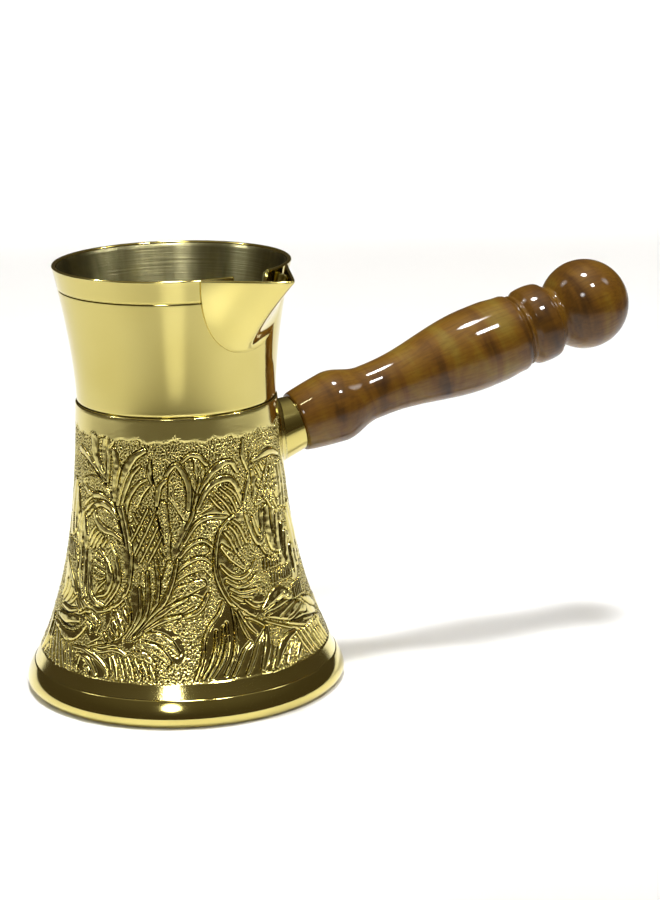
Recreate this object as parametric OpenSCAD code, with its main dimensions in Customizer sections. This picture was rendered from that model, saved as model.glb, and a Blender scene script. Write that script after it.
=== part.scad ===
// Engraved brass coffee pot with a pouring lip and a turned wooden handle.
// The origin is the centre of the flat underside, +Z is up and the handle rises along +X.

/* [Pot] */
// Height of the rim above the table
pot_h = 113; // [100:0.5:130]
// Outside radius of the rim
rim_r = 31; // [28:0.5:34]
// Height of the joint between the neck and the engraved body
shoulder_z = 77.1; // [70:0.1:84]
// Outside radius of the neck at its narrow lower end
neck_foot_r = 26; // [24:0.1:27]
// Outside radius of the engraved body at its top edge
body_top_r = 26.4; // [25.8:0.1:28]
// Height of the joint between the engraved body and the base pan
foot_z = 7.4; // [6:0.1:9]
// Outside radius of the engraved body at its lower edge
body_foot_r = 40.1; // [38:0.1:42]
// Largest radius of the rounded foot
foot_r = 42.3; // [41.5:0.1:44]

/* [Sheet] */
// Wall thickness of the neck
neck_wall = 1.2; // [1:0.1:1.6]
// Wall thickness of the engraved body
body_wall = 1.6; // [1.4:0.1:2]
// Thickness of the base pan
base_wall = 1.6; // [1.2:0.1:2]
// Height of each lap joint, where one wall slips inside the next
lap_h = 5; // [3:0.5:7]
// Thickness of the wiped tin inside the pot
tin_t = 0.15; // [0.1:0.05:0.25]

/* [Pouring lip] */
// Turn of the lip from the handle, seen from above
lip_turn = -68; // [-90:1:-55]
// Radius of the lip's tip from the pot's axis
lip_tip_r = 46; // [43:0.5:50]
// Drop from the rim to the lip's lowest point
lip_drop = 20.4; // [17:0.2:24]
// Half of the lip's width at the rim, as an angle about the pot's axis
lip_half = 27.5; // [24:0.5:31]
// Thickness of the lip's sheet
lip_t = 0.9; // [0.7:0.1:1.2]
// Width of the opening cut in the rim behind the lip
mouth_w = 11.5; // [9:0.5:14]
// Depth of the opening cut in the rim behind the lip
mouth_h = 10; // [8:0.5:12]

/* [Handle] */
// Rise of the handle above level
handle_rise = 15.55; // [10:0.05:22]
// Height at which the handle's axis meets the pot's axis
handle_z = 57.04; // [52:0.1:62]
// Distance along the handle's axis from the pot's axis to the wood
wood_start = 34.6; // [33:0.1:38]
// Radius of the brass socket at the wood
socket_r = 7.4; // [6.8:0.1:7.8]
// Radius of the wooden collar
collar_r = 9.8; // [9:0.1:10.5]
// Radius of the waist
waist_r = 7.5; // [7:0.1:8.5]
// Radius of the long grip at its fullest
grip_r = 11.4; // [10.5:0.1:12]
// Radius of the turned ring
ring_r = 10.8; // [10:0.1:11.5]
// Radius of the ball at the end
ball_r = 12.4; // [11.8:0.1:13]
// Radius of the steel stud
stud_r = 2.5; // [2:0.25:3]

/* [Hidden] */
$fn = 96;

brass = "#c9bd6b";
solder = "#b9b59a";
tin = "#8d8874";
steel = "#8a8d90";
varnished_wood = "#6e4a1c";

film = 0.12;              // solder film between two walls
steps = 24;               // straight steps in one curved wall
neck_power = 1.64;        // how late the neck flares out
flare_slow = 0.4;         // share of the body's flare that is the gentle slope
slow_power = 1.25;        // shape of the gentle slope
quick_power = 3.4;        // shape of the quick flare at the foot
groove_drop = 6;          // rim groove below the rim
groove_cut = 0.35;        // depth of a turned groove
rim_round = 0.5;          // rounding of the rim's edge
tin_from_rim = 0.6;       // bare edge left above the tin

// Outside radius of the neck at height z: it stays narrow and then flares to the rim.
function neck_r(z) =
    neck_foot_r + (rim_r - neck_foot_r)
    * pow(max(0, (z - shoulder_z) / (pot_h - shoulder_z)), neck_power);

// Outside radius of the bell-shaped body at height z: a gentle slope, then a quick flare at the foot.
function body_r(z) =
    let (u = min(1, max(0, (shoulder_z - z) / (shoulder_z - foot_z))))
    body_top_r + (body_foot_r - body_top_r)
    * (flare_slow * pow(u, slow_power) + (1 - flare_slow) * pow(u, quick_power));

// Points up the neck's or the body's outside from height a to height b, moved inwards by inset.
function neck_line(a, b, inset) =
    [for (i = [0:steps]) let (z = a + (b - a) * i / steps) [neck_r(z) - inset, z]];
function body_line(a, b, inset) =
    [for (i = [0:steps]) let (z = a + (b - a) * i / steps) [body_r(z) - inset, z]];
function back(points) = [for (i = [len(points) - 1:-1:0]) points[i]];

spigot_out = body_r(shoulder_z) - body_wall - film;   // neck's spigot, inside the body's top
spigot_in = spigot_out - neck_wall + 0.1;
spigot_z = shoulder_z - lap_h;
neck_inner_z = shoulder_z + 1.2;                      // where the neck's inside starts to follow its flare
skirt_in = body_wall + film;                          // base's upstand, inside the body's skirt
upstand_wall = 1.2;
upstand_z = foot_z + lap_h;
upstand_in = body_r(upstand_z) - skirt_in - upstand_wall;
floor_edge_r = foot_r - 4.6;                          // where the pan's floor turns up
floor_round = 3;                                      // rounding inside the pan
foot_corner = 2.6;                                    // rounding under the foot
foot_step = 0.3;                                      // ledge between the body and the foot
foot_power = 1.45;                                    // how soon the foot's slope turns upright

// The pan's inside corner, raised off the pan by lift.
function floor_corner(lift) =
    [for (a = [0:15:90]) [floor_edge_r - lift + floor_round * sin(a),
                          base_wall + lift + floor_round - floor_round * cos(a)]];

// --- the pot ---

// Flared collar with a turned line under the rim, cut open behind the lip.
module neck() {
    rim_top = [for (a = [0:30:90]) [rim_r - rim_round + rim_round * cos(a),
                                    pot_h - rim_round + rim_round * sin(a)]];
    groove_z = pot_h - groove_drop;
    outline = concat(
        [[spigot_in, spigot_z], [spigot_out, spigot_z], [spigot_out, shoulder_z]],
        neck_line(shoulder_z, groove_z - groove_cut, 0),
        [[neck_r(groove_z) - groove_cut, groove_z]],
        [[neck_r(groove_z + groove_cut), groove_z + groove_cut]],
        [for (z = [groove_z + 1.5:1:pot_h - 1]) [neck_r(z), z]],
        rim_top,
        back(neck_line(neck_inner_z, pot_h, neck_wall)));
    color(brass)
    difference() {
        rotate_extrude() polygon(outline);
        mouth_cut();
    }
}

// The opening behind the lip: straight sides and a round lower end.
module mouth_cut() {
    reach = rim_r + 5;
    rotate([0, 0, lip_turn])
    translate([neck_foot_r - 12, 0, pot_h - mouth_h + mouth_w / 2])
    rotate([0, 90, 0]) {
        cylinder(r = mouth_w / 2, h = reach);
        translate([-mouth_h, -mouth_w / 2, 0]) cube([mouth_h, mouth_w, reach]);
    }
}

// Bell-shaped shell between the shoulder and the foot, standing a little proud of the neck.
module engraved_body() {
    edge = 0.4;
    outline = concat(
        [[body_r(shoulder_z) - body_wall, shoulder_z], [body_r(shoulder_z) - edge, shoulder_z]],
        body_line(shoulder_z - edge, foot_z, 0),
        body_line(foot_z, shoulder_z, body_wall));
    color(brass) rotate_extrude() polygon(outline);
}

// Flat-bottomed pan with a rounded foot and an upstand that slips inside the body's skirt.
module base_pan() {
    lower = [for (a = [-90:15:0]) [foot_r - foot_corner + foot_corner * cos(a),
                                   foot_corner + foot_corner * sin(a)]];
    step_r = body_foot_r + foot_step;
    rise = foot_z - foot_step - foot_corner;
    upper = [for (i = [1:10]) [foot_r - (foot_r - step_r) * pow(i / 10, foot_power),
                               foot_corner + rise * i / 10]];
    color(brass)
    rotate_extrude()
    polygon(concat(
        [[0, 0]], lower, upper, [[step_r - foot_step, foot_z], [body_r(foot_z) - skirt_in, foot_z]],
        body_line(foot_z + 0.2, upstand_z, skirt_in),
        [[upstand_in, upstand_z]],
        back(floor_corner(0)),
        [[0, base_wall]]));
}

// Silver solder drawn into the lap at the shoulder.
module shoulder_solder() {
    color(solder)
    rotate_extrude()
    polygon([[spigot_out, spigot_z], [body_r(spigot_z) - body_wall, spigot_z],
             [body_r(shoulder_z) - body_wall, shoulder_z], [spigot_out, shoulder_z]]);
}

// Silver solder drawn into the lap at the foot.
module foot_solder() {
    color(solder)
    rotate_extrude()
    polygon(concat(body_line(foot_z + 0.2, upstand_z, skirt_in),
                   body_line(upstand_z, foot_z + 0.2, body_wall)));
}

// Thin coat of tin wiped over the floor and walls, up to just below the rim.
module tin_lining() {
    top_z = pot_h - tin_from_rim;
    ledge_r = body_r(upstand_z) - body_wall;
    walls = concat(
        [[upstand_in, upstand_z], [ledge_r, upstand_z]],
        body_line(upstand_z + 0.5, spigot_z, body_wall),
        [[spigot_in, spigot_z]],
        neck_line(neck_inner_z, top_z, neck_wall));
    face = concat(
        [[upstand_in - tin_t, upstand_z + tin_t], [ledge_r - tin_t, upstand_z + tin_t]],
        body_line(upstand_z + 0.5, spigot_z - tin_t, body_wall + tin_t),
        [[spigot_in - tin_t, spigot_z - tin_t]],
        neck_line(neck_inner_z, top_z, neck_wall + tin_t));
    color(tin)
    difference() {
        rotate_extrude()
        polygon(concat(
            [[0, base_wall]], floor_corner(0), walls,
            back(face),
            back(floor_corner(tin_t)),
            [[0, base_wall + tin_t]]));
        mouth_cut();
    }
}

// --- the pouring lip ---

lip_power = 2.4;                     // how square the lip's rounded lower edge is
lip_gap = 0.05;                      // clearance between the lip's edge and the neck
lip_foot_z = pot_h - lip_drop;
keel_foot_r = neck_r(lip_foot_z) + lip_t;
keel_power = 1.2;                    // how much the keel flares out toward the tip
keel_soft = 1.6;                     // rounding of the keel, in degrees about the pot's axis
tip_dip = 0.4;                       // how far the tip hangs below the rim
sheet_miter = 1.5;                   // extra inset of the sheet's inner face at the keel
across = 28;
down = 16;

// Half of the lip's width at height z, as an angle: a rounded shield.
function lip_edge(z) =
    lip_half * pow(max(0.0005, 1 - pow((pot_h - z) / lip_drop, lip_power)), 1 / lip_power);

// Radius of the lip at angle a and height z: straight walls from the neck to a rounded keel.
function lip_r(a, z, inset) =
    let (edge = lip_edge(z),
         base = neck_r(z) + lip_gap + lip_t - inset,
         rise = pow(max(0, z - lip_foot_z) / lip_drop, keel_power),
         ridge = keel_foot_r + (lip_tip_r - keel_foot_r) * rise - sheet_miter * inset,
         keel = max(base + 0.01, ridge),
         round_in = sqrt(a * a + keel_soft * keel_soft) - keel_soft,
         t = edge * round_in / (sqrt(edge * edge + keel_soft * keel_soft) - keel_soft),
         side = base * sin(edge))
    keel * side / (side * cos(t) + (keel - base * cos(edge)) * sin(t));

function lip_point(i, j, inset) =
    let (z = pot_h - lip_drop * sin(90 * j / down) * 0.9995,
         a = lip_edge(z) * (2 * i / across - 1),
         dip = tip_dip * (1 - abs(2 * i / across - 1)) * (1 - j / down),
         r = lip_r(a, z, inset))
    [r * cos(a), r * sin(a), z - dip];

// A closed sheet from an outer and an inner grid of points, each n across and m down.
module sheet(outer, inner, n, m) {
    k = (n + 1) * (m + 1);
    cells = [for (j = [0:m - 1]) for (i = [0:n - 1]) j * (n + 1) + i];
    front = [for (c = cells) each [[c, c + 1, c + n + 2], [c, c + n + 2, c + n + 1]]];
    rear = [for (f = front) [f[0] + k, f[2] + k, f[1] + k]];
    top = [for (i = [0:n - 1]) each [[i, i + k, i + 1 + k], [i, i + 1 + k, i + 1]]];
    low = [for (i = [0:n - 1]) let (c = m * (n + 1) + i)
        each [[c, c + 1, c + 1 + k], [c, c + 1 + k, c + k]]];
    left = [for (j = [0:m - 1]) let (c = j * (n + 1))
        each [[c, c + n + 1, c + n + 1 + k], [c, c + n + 1 + k, c + k]]];
    right = [for (j = [0:m - 1]) let (c = j * (n + 1) + n)
        each [[c, c + k, c + n + 1 + k], [c, c + n + 1 + k, c + n + 1]]];
    polyhedron(points = concat(outer, inner), faces = concat(front, rear, top, low, left, right),
               convexity = 4);
}

// Sheet bent into a beak, soldered over the opening in the rim.
module spout_lip() {
    outer = [for (j = [0:down]) for (i = [0:across]) lip_point(i, j, 0)];
    inner = [for (j = [0:down]) for (i = [0:across]) lip_point(i, j, lip_t)];
    color(brass) rotate([0, 0, lip_turn]) sheet(outer, inner, across, down);
}

bead_in = 0.84;                      // the solder run's inner and outer edges, as shares of the lip's size
bead_out = 0.985;
bead_gap = 0.02;                     // clearance between the solder and the neck
bead_min = 0.05;                     // least thickness of the solder
around = 36;

// Point on the solder run, on the face against the lip (top) or on the face against the neck.
function bead_point(i, j, top) =
    let (q = bead_in + (bead_out - bead_in) * j / 2,
         w = 4 + 172 * i / around,
         x = sign(cos(w)) * pow(abs(cos(w)), 2 / lip_power),
         y = pow(sin(w), 2 / lip_power),
         z = pot_h - lip_drop * q * y - 0.2,
         a = lip_half * q * x,
         r = top ? max(lip_r(a, z, lip_t + 0.06), neck_r(z) + bead_min) : neck_r(z) + bead_gap)
    [r * cos(a), r * sin(a), z];

// Solder run inside the lip's edge, in the wedge between its sheet and the neck.
module spout_solder() {
    outer = [for (j = [0:2]) for (i = [0:around]) bead_point(i, j, true)];
    inner = [for (j = [0:2]) for (i = [0:around]) bead_point(i, j, false)];
    color(solder) rotate([0, 0, lip_turn]) sheet(outer, inner, around, 2);
}

// --- the handle ---

socket_from = 24;                    // the cone starts inside the body and is cut to its curve
socket_flare = 1.5;                  // how much wider the cone is where it starts
socket_wall = 1.1;
solder_reach = 3.2;                  // width of the solder collar round the socket
solder_to = 31;                      // where that collar ends on the socket
tenon_l = 3;                         // wooden tenon inside the socket
tenon_r = socket_r - socket_wall - 0.1;
plug_to = wood_start - tenon_l - 0.2;
stud_in_wood = 34;
stud_from = 26.5;
seat = 0.05;                         // gap between the socket and the body

// Puts a piece drawn along +Z onto the handle's axis.
module on_handle() {
    translate([0, 0, handle_z]) rotate([0, 90 - handle_rise, 0]) children();
}

// The body's outer form grown by a small amount, used to cut pieces to its curve.
module body_form(grow) {
    rotate_extrude()
    polygon(concat([[0, foot_z]], body_line(foot_z, shoulder_z, -grow), [[0, shoulder_z]]));
}

// Radius of the socket at distance s along the handle.
function socket_at(s) = socket_r + socket_flare * (wood_start - s) / (wood_start - socket_from);

// Tapered brass socket, saddle-cut to the body.
module handle_socket() {
    color(brass)
    difference() {
        on_handle() translate([0, 0, socket_from]) difference() {
            cylinder(r1 = socket_at(socket_from), r2 = socket_r, h = wood_start - socket_from);
            translate([0, 0, -0.01])
            cylinder(r1 = socket_at(socket_from) - socket_wall, r2 = socket_r - socket_wall,
                     h = wood_start - socket_from + 0.02);
        }
        body_form(seat);
    }
}

// Collar of solder around the socket where it meets the body.
module socket_solder() {
    color(solder)
    difference() {
        on_handle() translate([0, 0, socket_from])
        cylinder(r1 = socket_at(socket_from) + solder_reach, r2 = socket_at(solder_to) - 0.15,
                 h = solder_to - socket_from);
        on_handle() translate([0, 0, socket_from - 1])
        cylinder(r1 = socket_at(socket_from - 1), r2 = socket_at(solder_to + 1),
                 h = solder_to + 2 - socket_from);
        body_form(0);
    }
}

// Brass plug brazed into the socket, with the hole that takes the stud.
module socket_plug() {
    color(brass)
    difference() {
        on_handle() translate([0, 0, socket_from])
        cylinder(r1 = socket_at(socket_from) - socket_wall, r2 = socket_at(plug_to) - socket_wall,
                 h = plug_to - socket_from);
        on_handle() translate([0, 0, socket_from - 1]) cylinder(r = stud_r, h = plug_to);
        body_form(seat);
    }
}

// Steel stud that draws the wood against the socket.
module handle_stud() {
    color(steel)
    difference() {
        on_handle() translate([0, 0, stud_from])
        cylinder(r = stud_r, h = wood_start + stud_in_wood - stud_from);
        body_form(seat);
    }
}

// Stations along the turned handle, measured from its face against the socket, and radii at some of them.
collar_s = 11.7;
waist_s = [21.5, 24];
grip_s = [55, 60];
shoulder_s = 66;
groove_s = 69.2;
groove_r = 9.6;
ring_s = [72, 76];
cove_s = 79;
cove_r = 8.2;
ball_s = 89.8;
face_r = 8.1;

// Points of a smooth S-shaped curve from [a, ra] to [b, rb].
function swell(a, ra, b, rb, n) =
    [for (i = [0:n]) [ra + (rb - ra) * (1 - cos(180 * i / n)) / 2, a + (b - a) * i / n]];

// Turned in one piece: tenon, collar, waist, grip, ring and ball, with a blind hole for the stud.
module wood_handle() {
    ball_from = -asin((ball_s - cove_s - 1.2) / ball_r);
    outline = concat(
        [[0, -tenon_l], [tenon_r, -tenon_l], [tenon_r, 0], [face_r - 0.3, 0], [face_r, 0.3]],
        [[collar_r - 0.1, collar_s - 1.2], [collar_r, collar_s - 0.4]],
        swell(collar_s, collar_r, waist_s[0], waist_r, 10),
        swell(waist_s[1], waist_r, grip_s[0], grip_r, 16),
        swell(grip_s[1], grip_r, shoulder_s, grip_r - 0.5, 4),
        [[grip_r - 0.9, shoulder_s + 1], [groove_r, groove_s - 0.4], [groove_r, groove_s + 0.4]],
        [[ring_r - 0.4, ring_s[0] - 1], [ring_r, ring_s[0] + 1], [ring_r, ring_s[1] - 1]],
        [[ring_r - 0.5, ring_s[1] + 0.5], [cove_r + 0.9, cove_s - 1], [cove_r, cove_s]],
        [for (i = [0:20]) let (a = ball_from + (90 - ball_from) * i / 20)
            [i == 20 ? 0 : ball_r * cos(a), ball_s + ball_r * sin(a)]]);
    color(varnished_wood)
    on_handle() translate([0, 0, wood_start])
    difference() {
        rotate_extrude() polygon(outline);
        translate([0, 0, -tenon_l - 1]) cylinder(r = stud_r, h = tenon_l + 2 + stud_in_wood);
    }
}

neck();
engraved_body();
base_pan();
shoulder_solder();
foot_solder();
tin_lining();
spout_lip();
spout_solder();
handle_socket();
socket_solder();
socket_plug();
handle_stud();
wood_handle();
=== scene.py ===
import bpy
import numpy as np
from mathutils import Matrix, Vector


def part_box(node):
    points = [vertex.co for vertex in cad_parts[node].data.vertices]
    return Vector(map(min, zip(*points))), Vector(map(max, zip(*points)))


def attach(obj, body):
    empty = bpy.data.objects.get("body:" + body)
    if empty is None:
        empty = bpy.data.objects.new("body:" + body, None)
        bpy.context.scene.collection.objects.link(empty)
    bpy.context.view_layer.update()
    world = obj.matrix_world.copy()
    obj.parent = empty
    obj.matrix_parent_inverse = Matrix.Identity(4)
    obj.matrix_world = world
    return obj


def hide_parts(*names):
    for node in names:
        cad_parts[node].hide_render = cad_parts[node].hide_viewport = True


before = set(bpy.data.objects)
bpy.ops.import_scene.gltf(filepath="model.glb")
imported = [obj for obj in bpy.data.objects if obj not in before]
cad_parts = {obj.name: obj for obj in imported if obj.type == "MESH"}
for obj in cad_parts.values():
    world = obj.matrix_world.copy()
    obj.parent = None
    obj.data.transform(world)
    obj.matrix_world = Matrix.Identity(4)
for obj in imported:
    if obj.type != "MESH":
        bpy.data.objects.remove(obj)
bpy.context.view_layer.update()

MM = 0.001

# ---------------------------------------------------------------- sizes, in millimetres

neck_box, body_box, pan_box = (np.array(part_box(node)) / MM for node in ("neck", "engraved_body", "base_pan"))

RIM_R, RIM_Z = neck_box[1, 0], neck_box[1, 2]
BODY_FOOT_R, SHOULDER_Z = body_box[1, 0], body_box[1, 2]
FOOT_R, FOOT_Z = pan_box[1, 0], body_box[0, 2]
NECK_FOOT_R = 26.0
BODY_TOP_R = 26.4
NECK_WALL, BODY_WALL, BASE_WALL = 1.2, 1.6, 1.6
RIM_ROUND = NECK_WALL / 2
SPIGOT_WALL, UPSTAND_WALL = NECK_WALL - 0.1, 1.2
FILM, LAP, TIN = 0.12, 5.0, 0.15  # solder film, height of a lap joint, thickness of the tin
SPIGOT_R = BODY_TOP_R - BODY_WALL - FILM
TIN_TOP = RIM_Z - RIM_ROUND
FLOOR_ROUND, FLOOR_EDGE = 3.0, FOOT_R - 4.6  # the pan's inside corner, and where its flat floor ends

LIP_TURN = np.radians(-68.0)  # from the handle, seen from above
LIP_TIP_R, LIP_DROP, LIP_HALF, LIP_T = 46.0, 20.4, np.radians(27.5), 0.9  # T is the sheet's thickness
LIP_LIFT, LIP_POWER, KEEL_POWER = -0.4, 2.4, 1.2  # rise of the tip, squareness of the shield, keel's flare
MOUTH_W, MOUTH_H = 11.5, 10.0  # the opening cut in the rim behind the lip

HANDLE_RISE = np.radians(15.55)
HANDLE_Z = 57.04  # where the handle's axis crosses the pot's
WOOD_START = 34.6  # from that crossing, along the handle
VIEW_TURN = np.radians(-22.0)  # turn of the camera and the lamps about the pot's axis
SOCKET_R, SOCKET_FLARE, SOCKET_WALL, SOCKET_FROM = 7.4, 1.5, 1.1, 24.0  # wider by the flare at FROM
SADDLE_AT = 28.0  # along the handle, about where the socket meets the body


def neck_r(z):
    """Outside radius of the neck: its foot radius plus a share of the flare, as height to the power 1.64."""
    t = np.clip((z - SHOULDER_Z) / (RIM_Z - SHOULDER_Z), 0, None)
    return NECK_FOOT_R + (RIM_R - NECK_FOOT_R) * t ** 1.64


def body_r(z):
    """Outside radius of the bell: a slow slope (power 1.25) plus a quick flare at the foot (power 3.4)."""
    u = np.clip((SHOULDER_Z - z) / (SHOULDER_Z - FOOT_Z), 0, 1)
    return BODY_TOP_R + (BODY_FOOT_R - BODY_TOP_R) * (0.4 * u ** 1.25 + 0.6 * u ** 3.4)


UPSTAND_IN = body_r(FOOT_Z + LAP) - BODY_WALL - FILM - UPSTAND_WALL


def floor_corner(turn):
    """Points on the pan's rounded inside corner, at turns of 0 to 90 degrees from the floor to the wall."""
    c = np.radians(turn)
    return np.stack([FLOOR_EDGE + FLOOR_ROUND * np.sin(c), BASE_WALL + FLOOR_ROUND * (1 - np.cos(c))], 1)


# ---------------------------------------------------------------- small tools

def colour(hexa, alpha=1.0):
    """An sRGB hex value as linear red, green, blue and alpha."""
    c = np.array([int(hexa[i:i + 2], 16) for i in (1, 3, 5)]) / 255
    c = np.where(c <= 0.04045, c / 12.92, ((c + 0.055) / 1.055) ** 2.4)
    return (*c, alpha)


def smooth(a, b, x):
    """0 below a, 1 above b, and a smooth cubic between them."""
    t = np.clip((x - a) / (b - a), 0, 1)
    return t * t * (3 - 2 * t)


def make_mesh(name, points, quads, material, replaces, attributes=None, normals=None):
    """Puts points in millimetres and index quads into one smooth piece. A repeated last index makes a
    triangle."""
    tri = quads[:, 2] == quads[:, 3]
    counts = np.where(tri, 3, 4)
    loops = quads[np.arange(4)[None, :] < counts[:, None]]
    mesh = bpy.data.meshes.new(name)
    mesh.vertices.add(len(points))
    mesh.vertices.foreach_set("co", (points * MM).astype(np.float32).ravel())
    mesh.loops.add(len(loops))
    mesh.loops.foreach_set("vertex_index", loops.astype(np.int32))
    mesh.polygons.add(len(quads))
    starts = np.concatenate([[0], np.cumsum(counts)[:-1]])
    mesh.polygons.foreach_set("loop_start", starts.astype(np.int32))
    mesh.polygons.foreach_set("use_smooth", np.ones(len(quads), bool))
    for key, values in (attributes or {}).items():
        layer = mesh.attributes.new(key, "FLOAT", "POINT")
        layer.data.foreach_set("value", values.astype(np.float32).ravel())
    mesh.update(calc_edges=True)
    mesh.validate()
    if normals is not None:
        mesh.normals_split_custom_set_from_vertices(normals.reshape(-1, 3))
    piece = bpy.data.objects.new(name, mesh)
    bpy.context.scene.collection.objects.link(piece)
    mesh.materials.append(material)
    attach(piece, "root")
    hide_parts(*replaces)


def grid_quads(n, m, wrap_n=False, wrap_m=False):
    """Quads over an n by m grid of points, joined back to its start along either way that wraps."""
    i = np.arange(n if wrap_n else n - 1)[:, None]
    j = np.arange(m if wrap_m else m - 1)[None, :]
    a, b = i * m + j, ((i + 1) % n) * m + j
    c, d = ((i + 1) % n) * m + (j + 1) % m, i * m + (j + 1) % m
    return np.stack([a, b, c, d], -1).reshape(-1, 4)


def sheet_quads(n, m):
    """Quads of a closed sheet: an outer n by m grid, an inner one stored after it, and a seam round the
    edges of both."""
    front = grid_quads(n, m)
    ring = np.concatenate([np.arange(n) * m + m - 1, (n - 1) * m + np.arange(m - 1)[::-1],
                           np.arange(1, n - 1)[::-1] * m, np.arange(m - 1)])
    after = np.roll(ring, -1)
    seam = np.stack([ring, after, after + n * m, ring + n * m], 1)
    return np.concatenate([front, front[:, ::-1] + n * m, seam])


def turned(name, profile, count, material, replaces, place=None):
    """Spins a closed outline of [radius, height] points that starts and ends on the axis into a closed solid.
    The outline runs so that the metal is on its left; each end becomes one pole point."""
    r, h = profile[1:-1, 0], profile[1:-1, 1]
    t = np.arange(count) * 2 * np.pi / count
    ring = np.stack([np.cos(t)[:, None] * r, np.sin(t)[:, None] * r, np.broadcast_to(h, (count, len(h)))], -1)
    points = np.concatenate([ring.reshape(-1, 3), [[0, 0, profile[0, 1]], [0, 0, profile[-1, 1]]]])
    quads = grid_quads(count, len(h), wrap_n=True)
    i = np.arange(count)
    first, last = i * len(h), i * len(h) + len(h) - 1
    low, high = len(points) - 2, len(points) - 1
    fan_low = np.stack([first, np.full(count, low), np.roll(first, -1), np.roll(first, -1)], 1)
    fan_high = np.stack([last, np.roll(last, -1), np.full(count, high), np.full(count, high)], 1)
    quads = np.concatenate([quads, fan_low, fan_high])
    if place is not None:
        points = points @ place[:3, :3].T + place[:3, 3]
    make_mesh(name, points, quads, material, replaces)


def shell(name, outline, angles, material, replaces):
    """A ring-shaped solid: at each angle one closed outline of [radius, height] points, given as an
    (angles, points, 2) array so that the outline may change around the pot."""
    r, z = outline[..., 0], outline[..., 1]
    points = np.stack([r * np.cos(angles)[:, None], r * np.sin(angles)[:, None], z], -1)
    quads = grid_quads(len(angles), outline.shape[1], wrap_n=True, wrap_m=True)
    make_mesh(name, points.reshape(-1, 3), quads, material, replaces)


# ---------------------------------------------------------------- materials

def add(tree, kind, settings=None, **inputs):
    """Adds one node, sets its properties, and feeds each input with a value or another node's output. An
    input goes by its name, with _ for a space, or by n and its number."""
    node = tree.nodes.new(kind)
    for key, value in (settings or {}).items():
        setattr(node, key, value)
    for key, value in inputs.items():
        numbered = key[0] == "n" and key[1:].isdigit()
        socket = node.inputs[int(key[1:]) if numbered else key.replace("_", " ")]
        if isinstance(value, bpy.types.NodeSocket):
            tree.links.new(value, socket)
        else:
            socket.default_value = value
    return node


def new_material(name, **shader):
    """A material with one Principled shader whose uniform values sit on its own sockets."""
    material = bpy.data.materials.new(name)
    material.use_nodes = True
    tree = material.node_tree
    tree.nodes.clear()
    principled = add(tree, "ShaderNodeBsdfPrincipled", **shader)
    out = add(tree, "ShaderNodeOutputMaterial")
    tree.links.new(principled.outputs[0], out.inputs[0])
    return material, tree, principled


def ramp(tree, factor, *stops):
    """A colour ramp of (position, linear colour) stops fed by factor."""
    node = add(tree, "ShaderNodeValToRGB", Fac=factor)
    while len(node.color_ramp.elements) < len(stops):
        node.color_ramp.elements.new(0.5)
    for element, (position, value) in zip(node.color_ramp.elements, stops):
        element.position = position
        element.color = value
    return node.outputs[0]


def polished_brass():
    """Spun sheet brass, buffed bright: a greenish yellow mirror with faint turning lines and soft ripples."""
    m, t, p = new_material("buffed_brass_sheet", Metallic=1.0)
    where = add(t, "ShaderNodeTexCoord").outputs["Object"]
    stretched = add(t, "ShaderNodeMapping", Vector=where, Scale=(60, 60, 2600)).outputs[0]
    lines = add(t, "ShaderNodeTexNoise", Vector=stretched, Scale=1.0, Detail=3.0).outputs[0]
    waves = add(t, "ShaderNodeTexNoise", Vector=where, Scale=55.0, Detail=1.0).outputs[0]
    tone = ramp(t, waves, (0.3, colour("#cbbd70")), (0.7, colour("#d4c77c")))
    t.links.new(tone, p.inputs["Base Color"])
    rough = add(t, "ShaderNodeMapRange", Value=lines, n3=0.05, n4=0.13).outputs[0]
    t.links.new(rough, p.inputs["Roughness"])
    ripple = add(t, "ShaderNodeBump", Height=waves, Strength=0.12, Distance=0.0006).outputs[0]
    marks = add(t, "ShaderNodeBump", Height=lines, Strength=0.06, Distance=0.00004, Normal=ripple).outputs[0]
    t.links.new(marks, p.inputs["Normal"])
    return m


def chased_brass():
    """Hammer-chased brass: bright on the raised leaves, with painted shade darkening the hollows and the
    punched dots.
    """
    m, t, p = new_material("chased_brass", Metallic=1.0)
    where = add(t, "ShaderNodeTexCoord").outputs["Object"]
    # painted shade: the hollow attribute darkens the colour towards near black in the chased recesses and
    # punched dots
    depth = add(t, "ShaderNodeAttribute", {"attribute_name": "hollow"}).outputs["Fac"]
    grit = add(t, "ShaderNodeTexNoise", Vector=where, Scale=2200.0, Detail=2.0).outputs[0]
    tone = ramp(t, depth, (0.0, colour("#dfd287")), (0.45, colour("#96863f")), (1.0, colour("#3c320d")))
    t.links.new(tone, p.inputs["Base Color"])
    shine = add(t, "ShaderNodeAttribute", {"attribute_name": "polish"}).outputs["Fac"]
    rough = add(t, "ShaderNodeMapRange", Value=shine, n3=0.34, n4=0.12).outputs[0]
    t.links.new(rough, p.inputs["Roughness"])
    fine = add(t, "ShaderNodeBump", Height=grit, Strength=0.25, Distance=0.00006).outputs[0]
    t.links.new(fine, p.inputs["Normal"])
    return m


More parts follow.
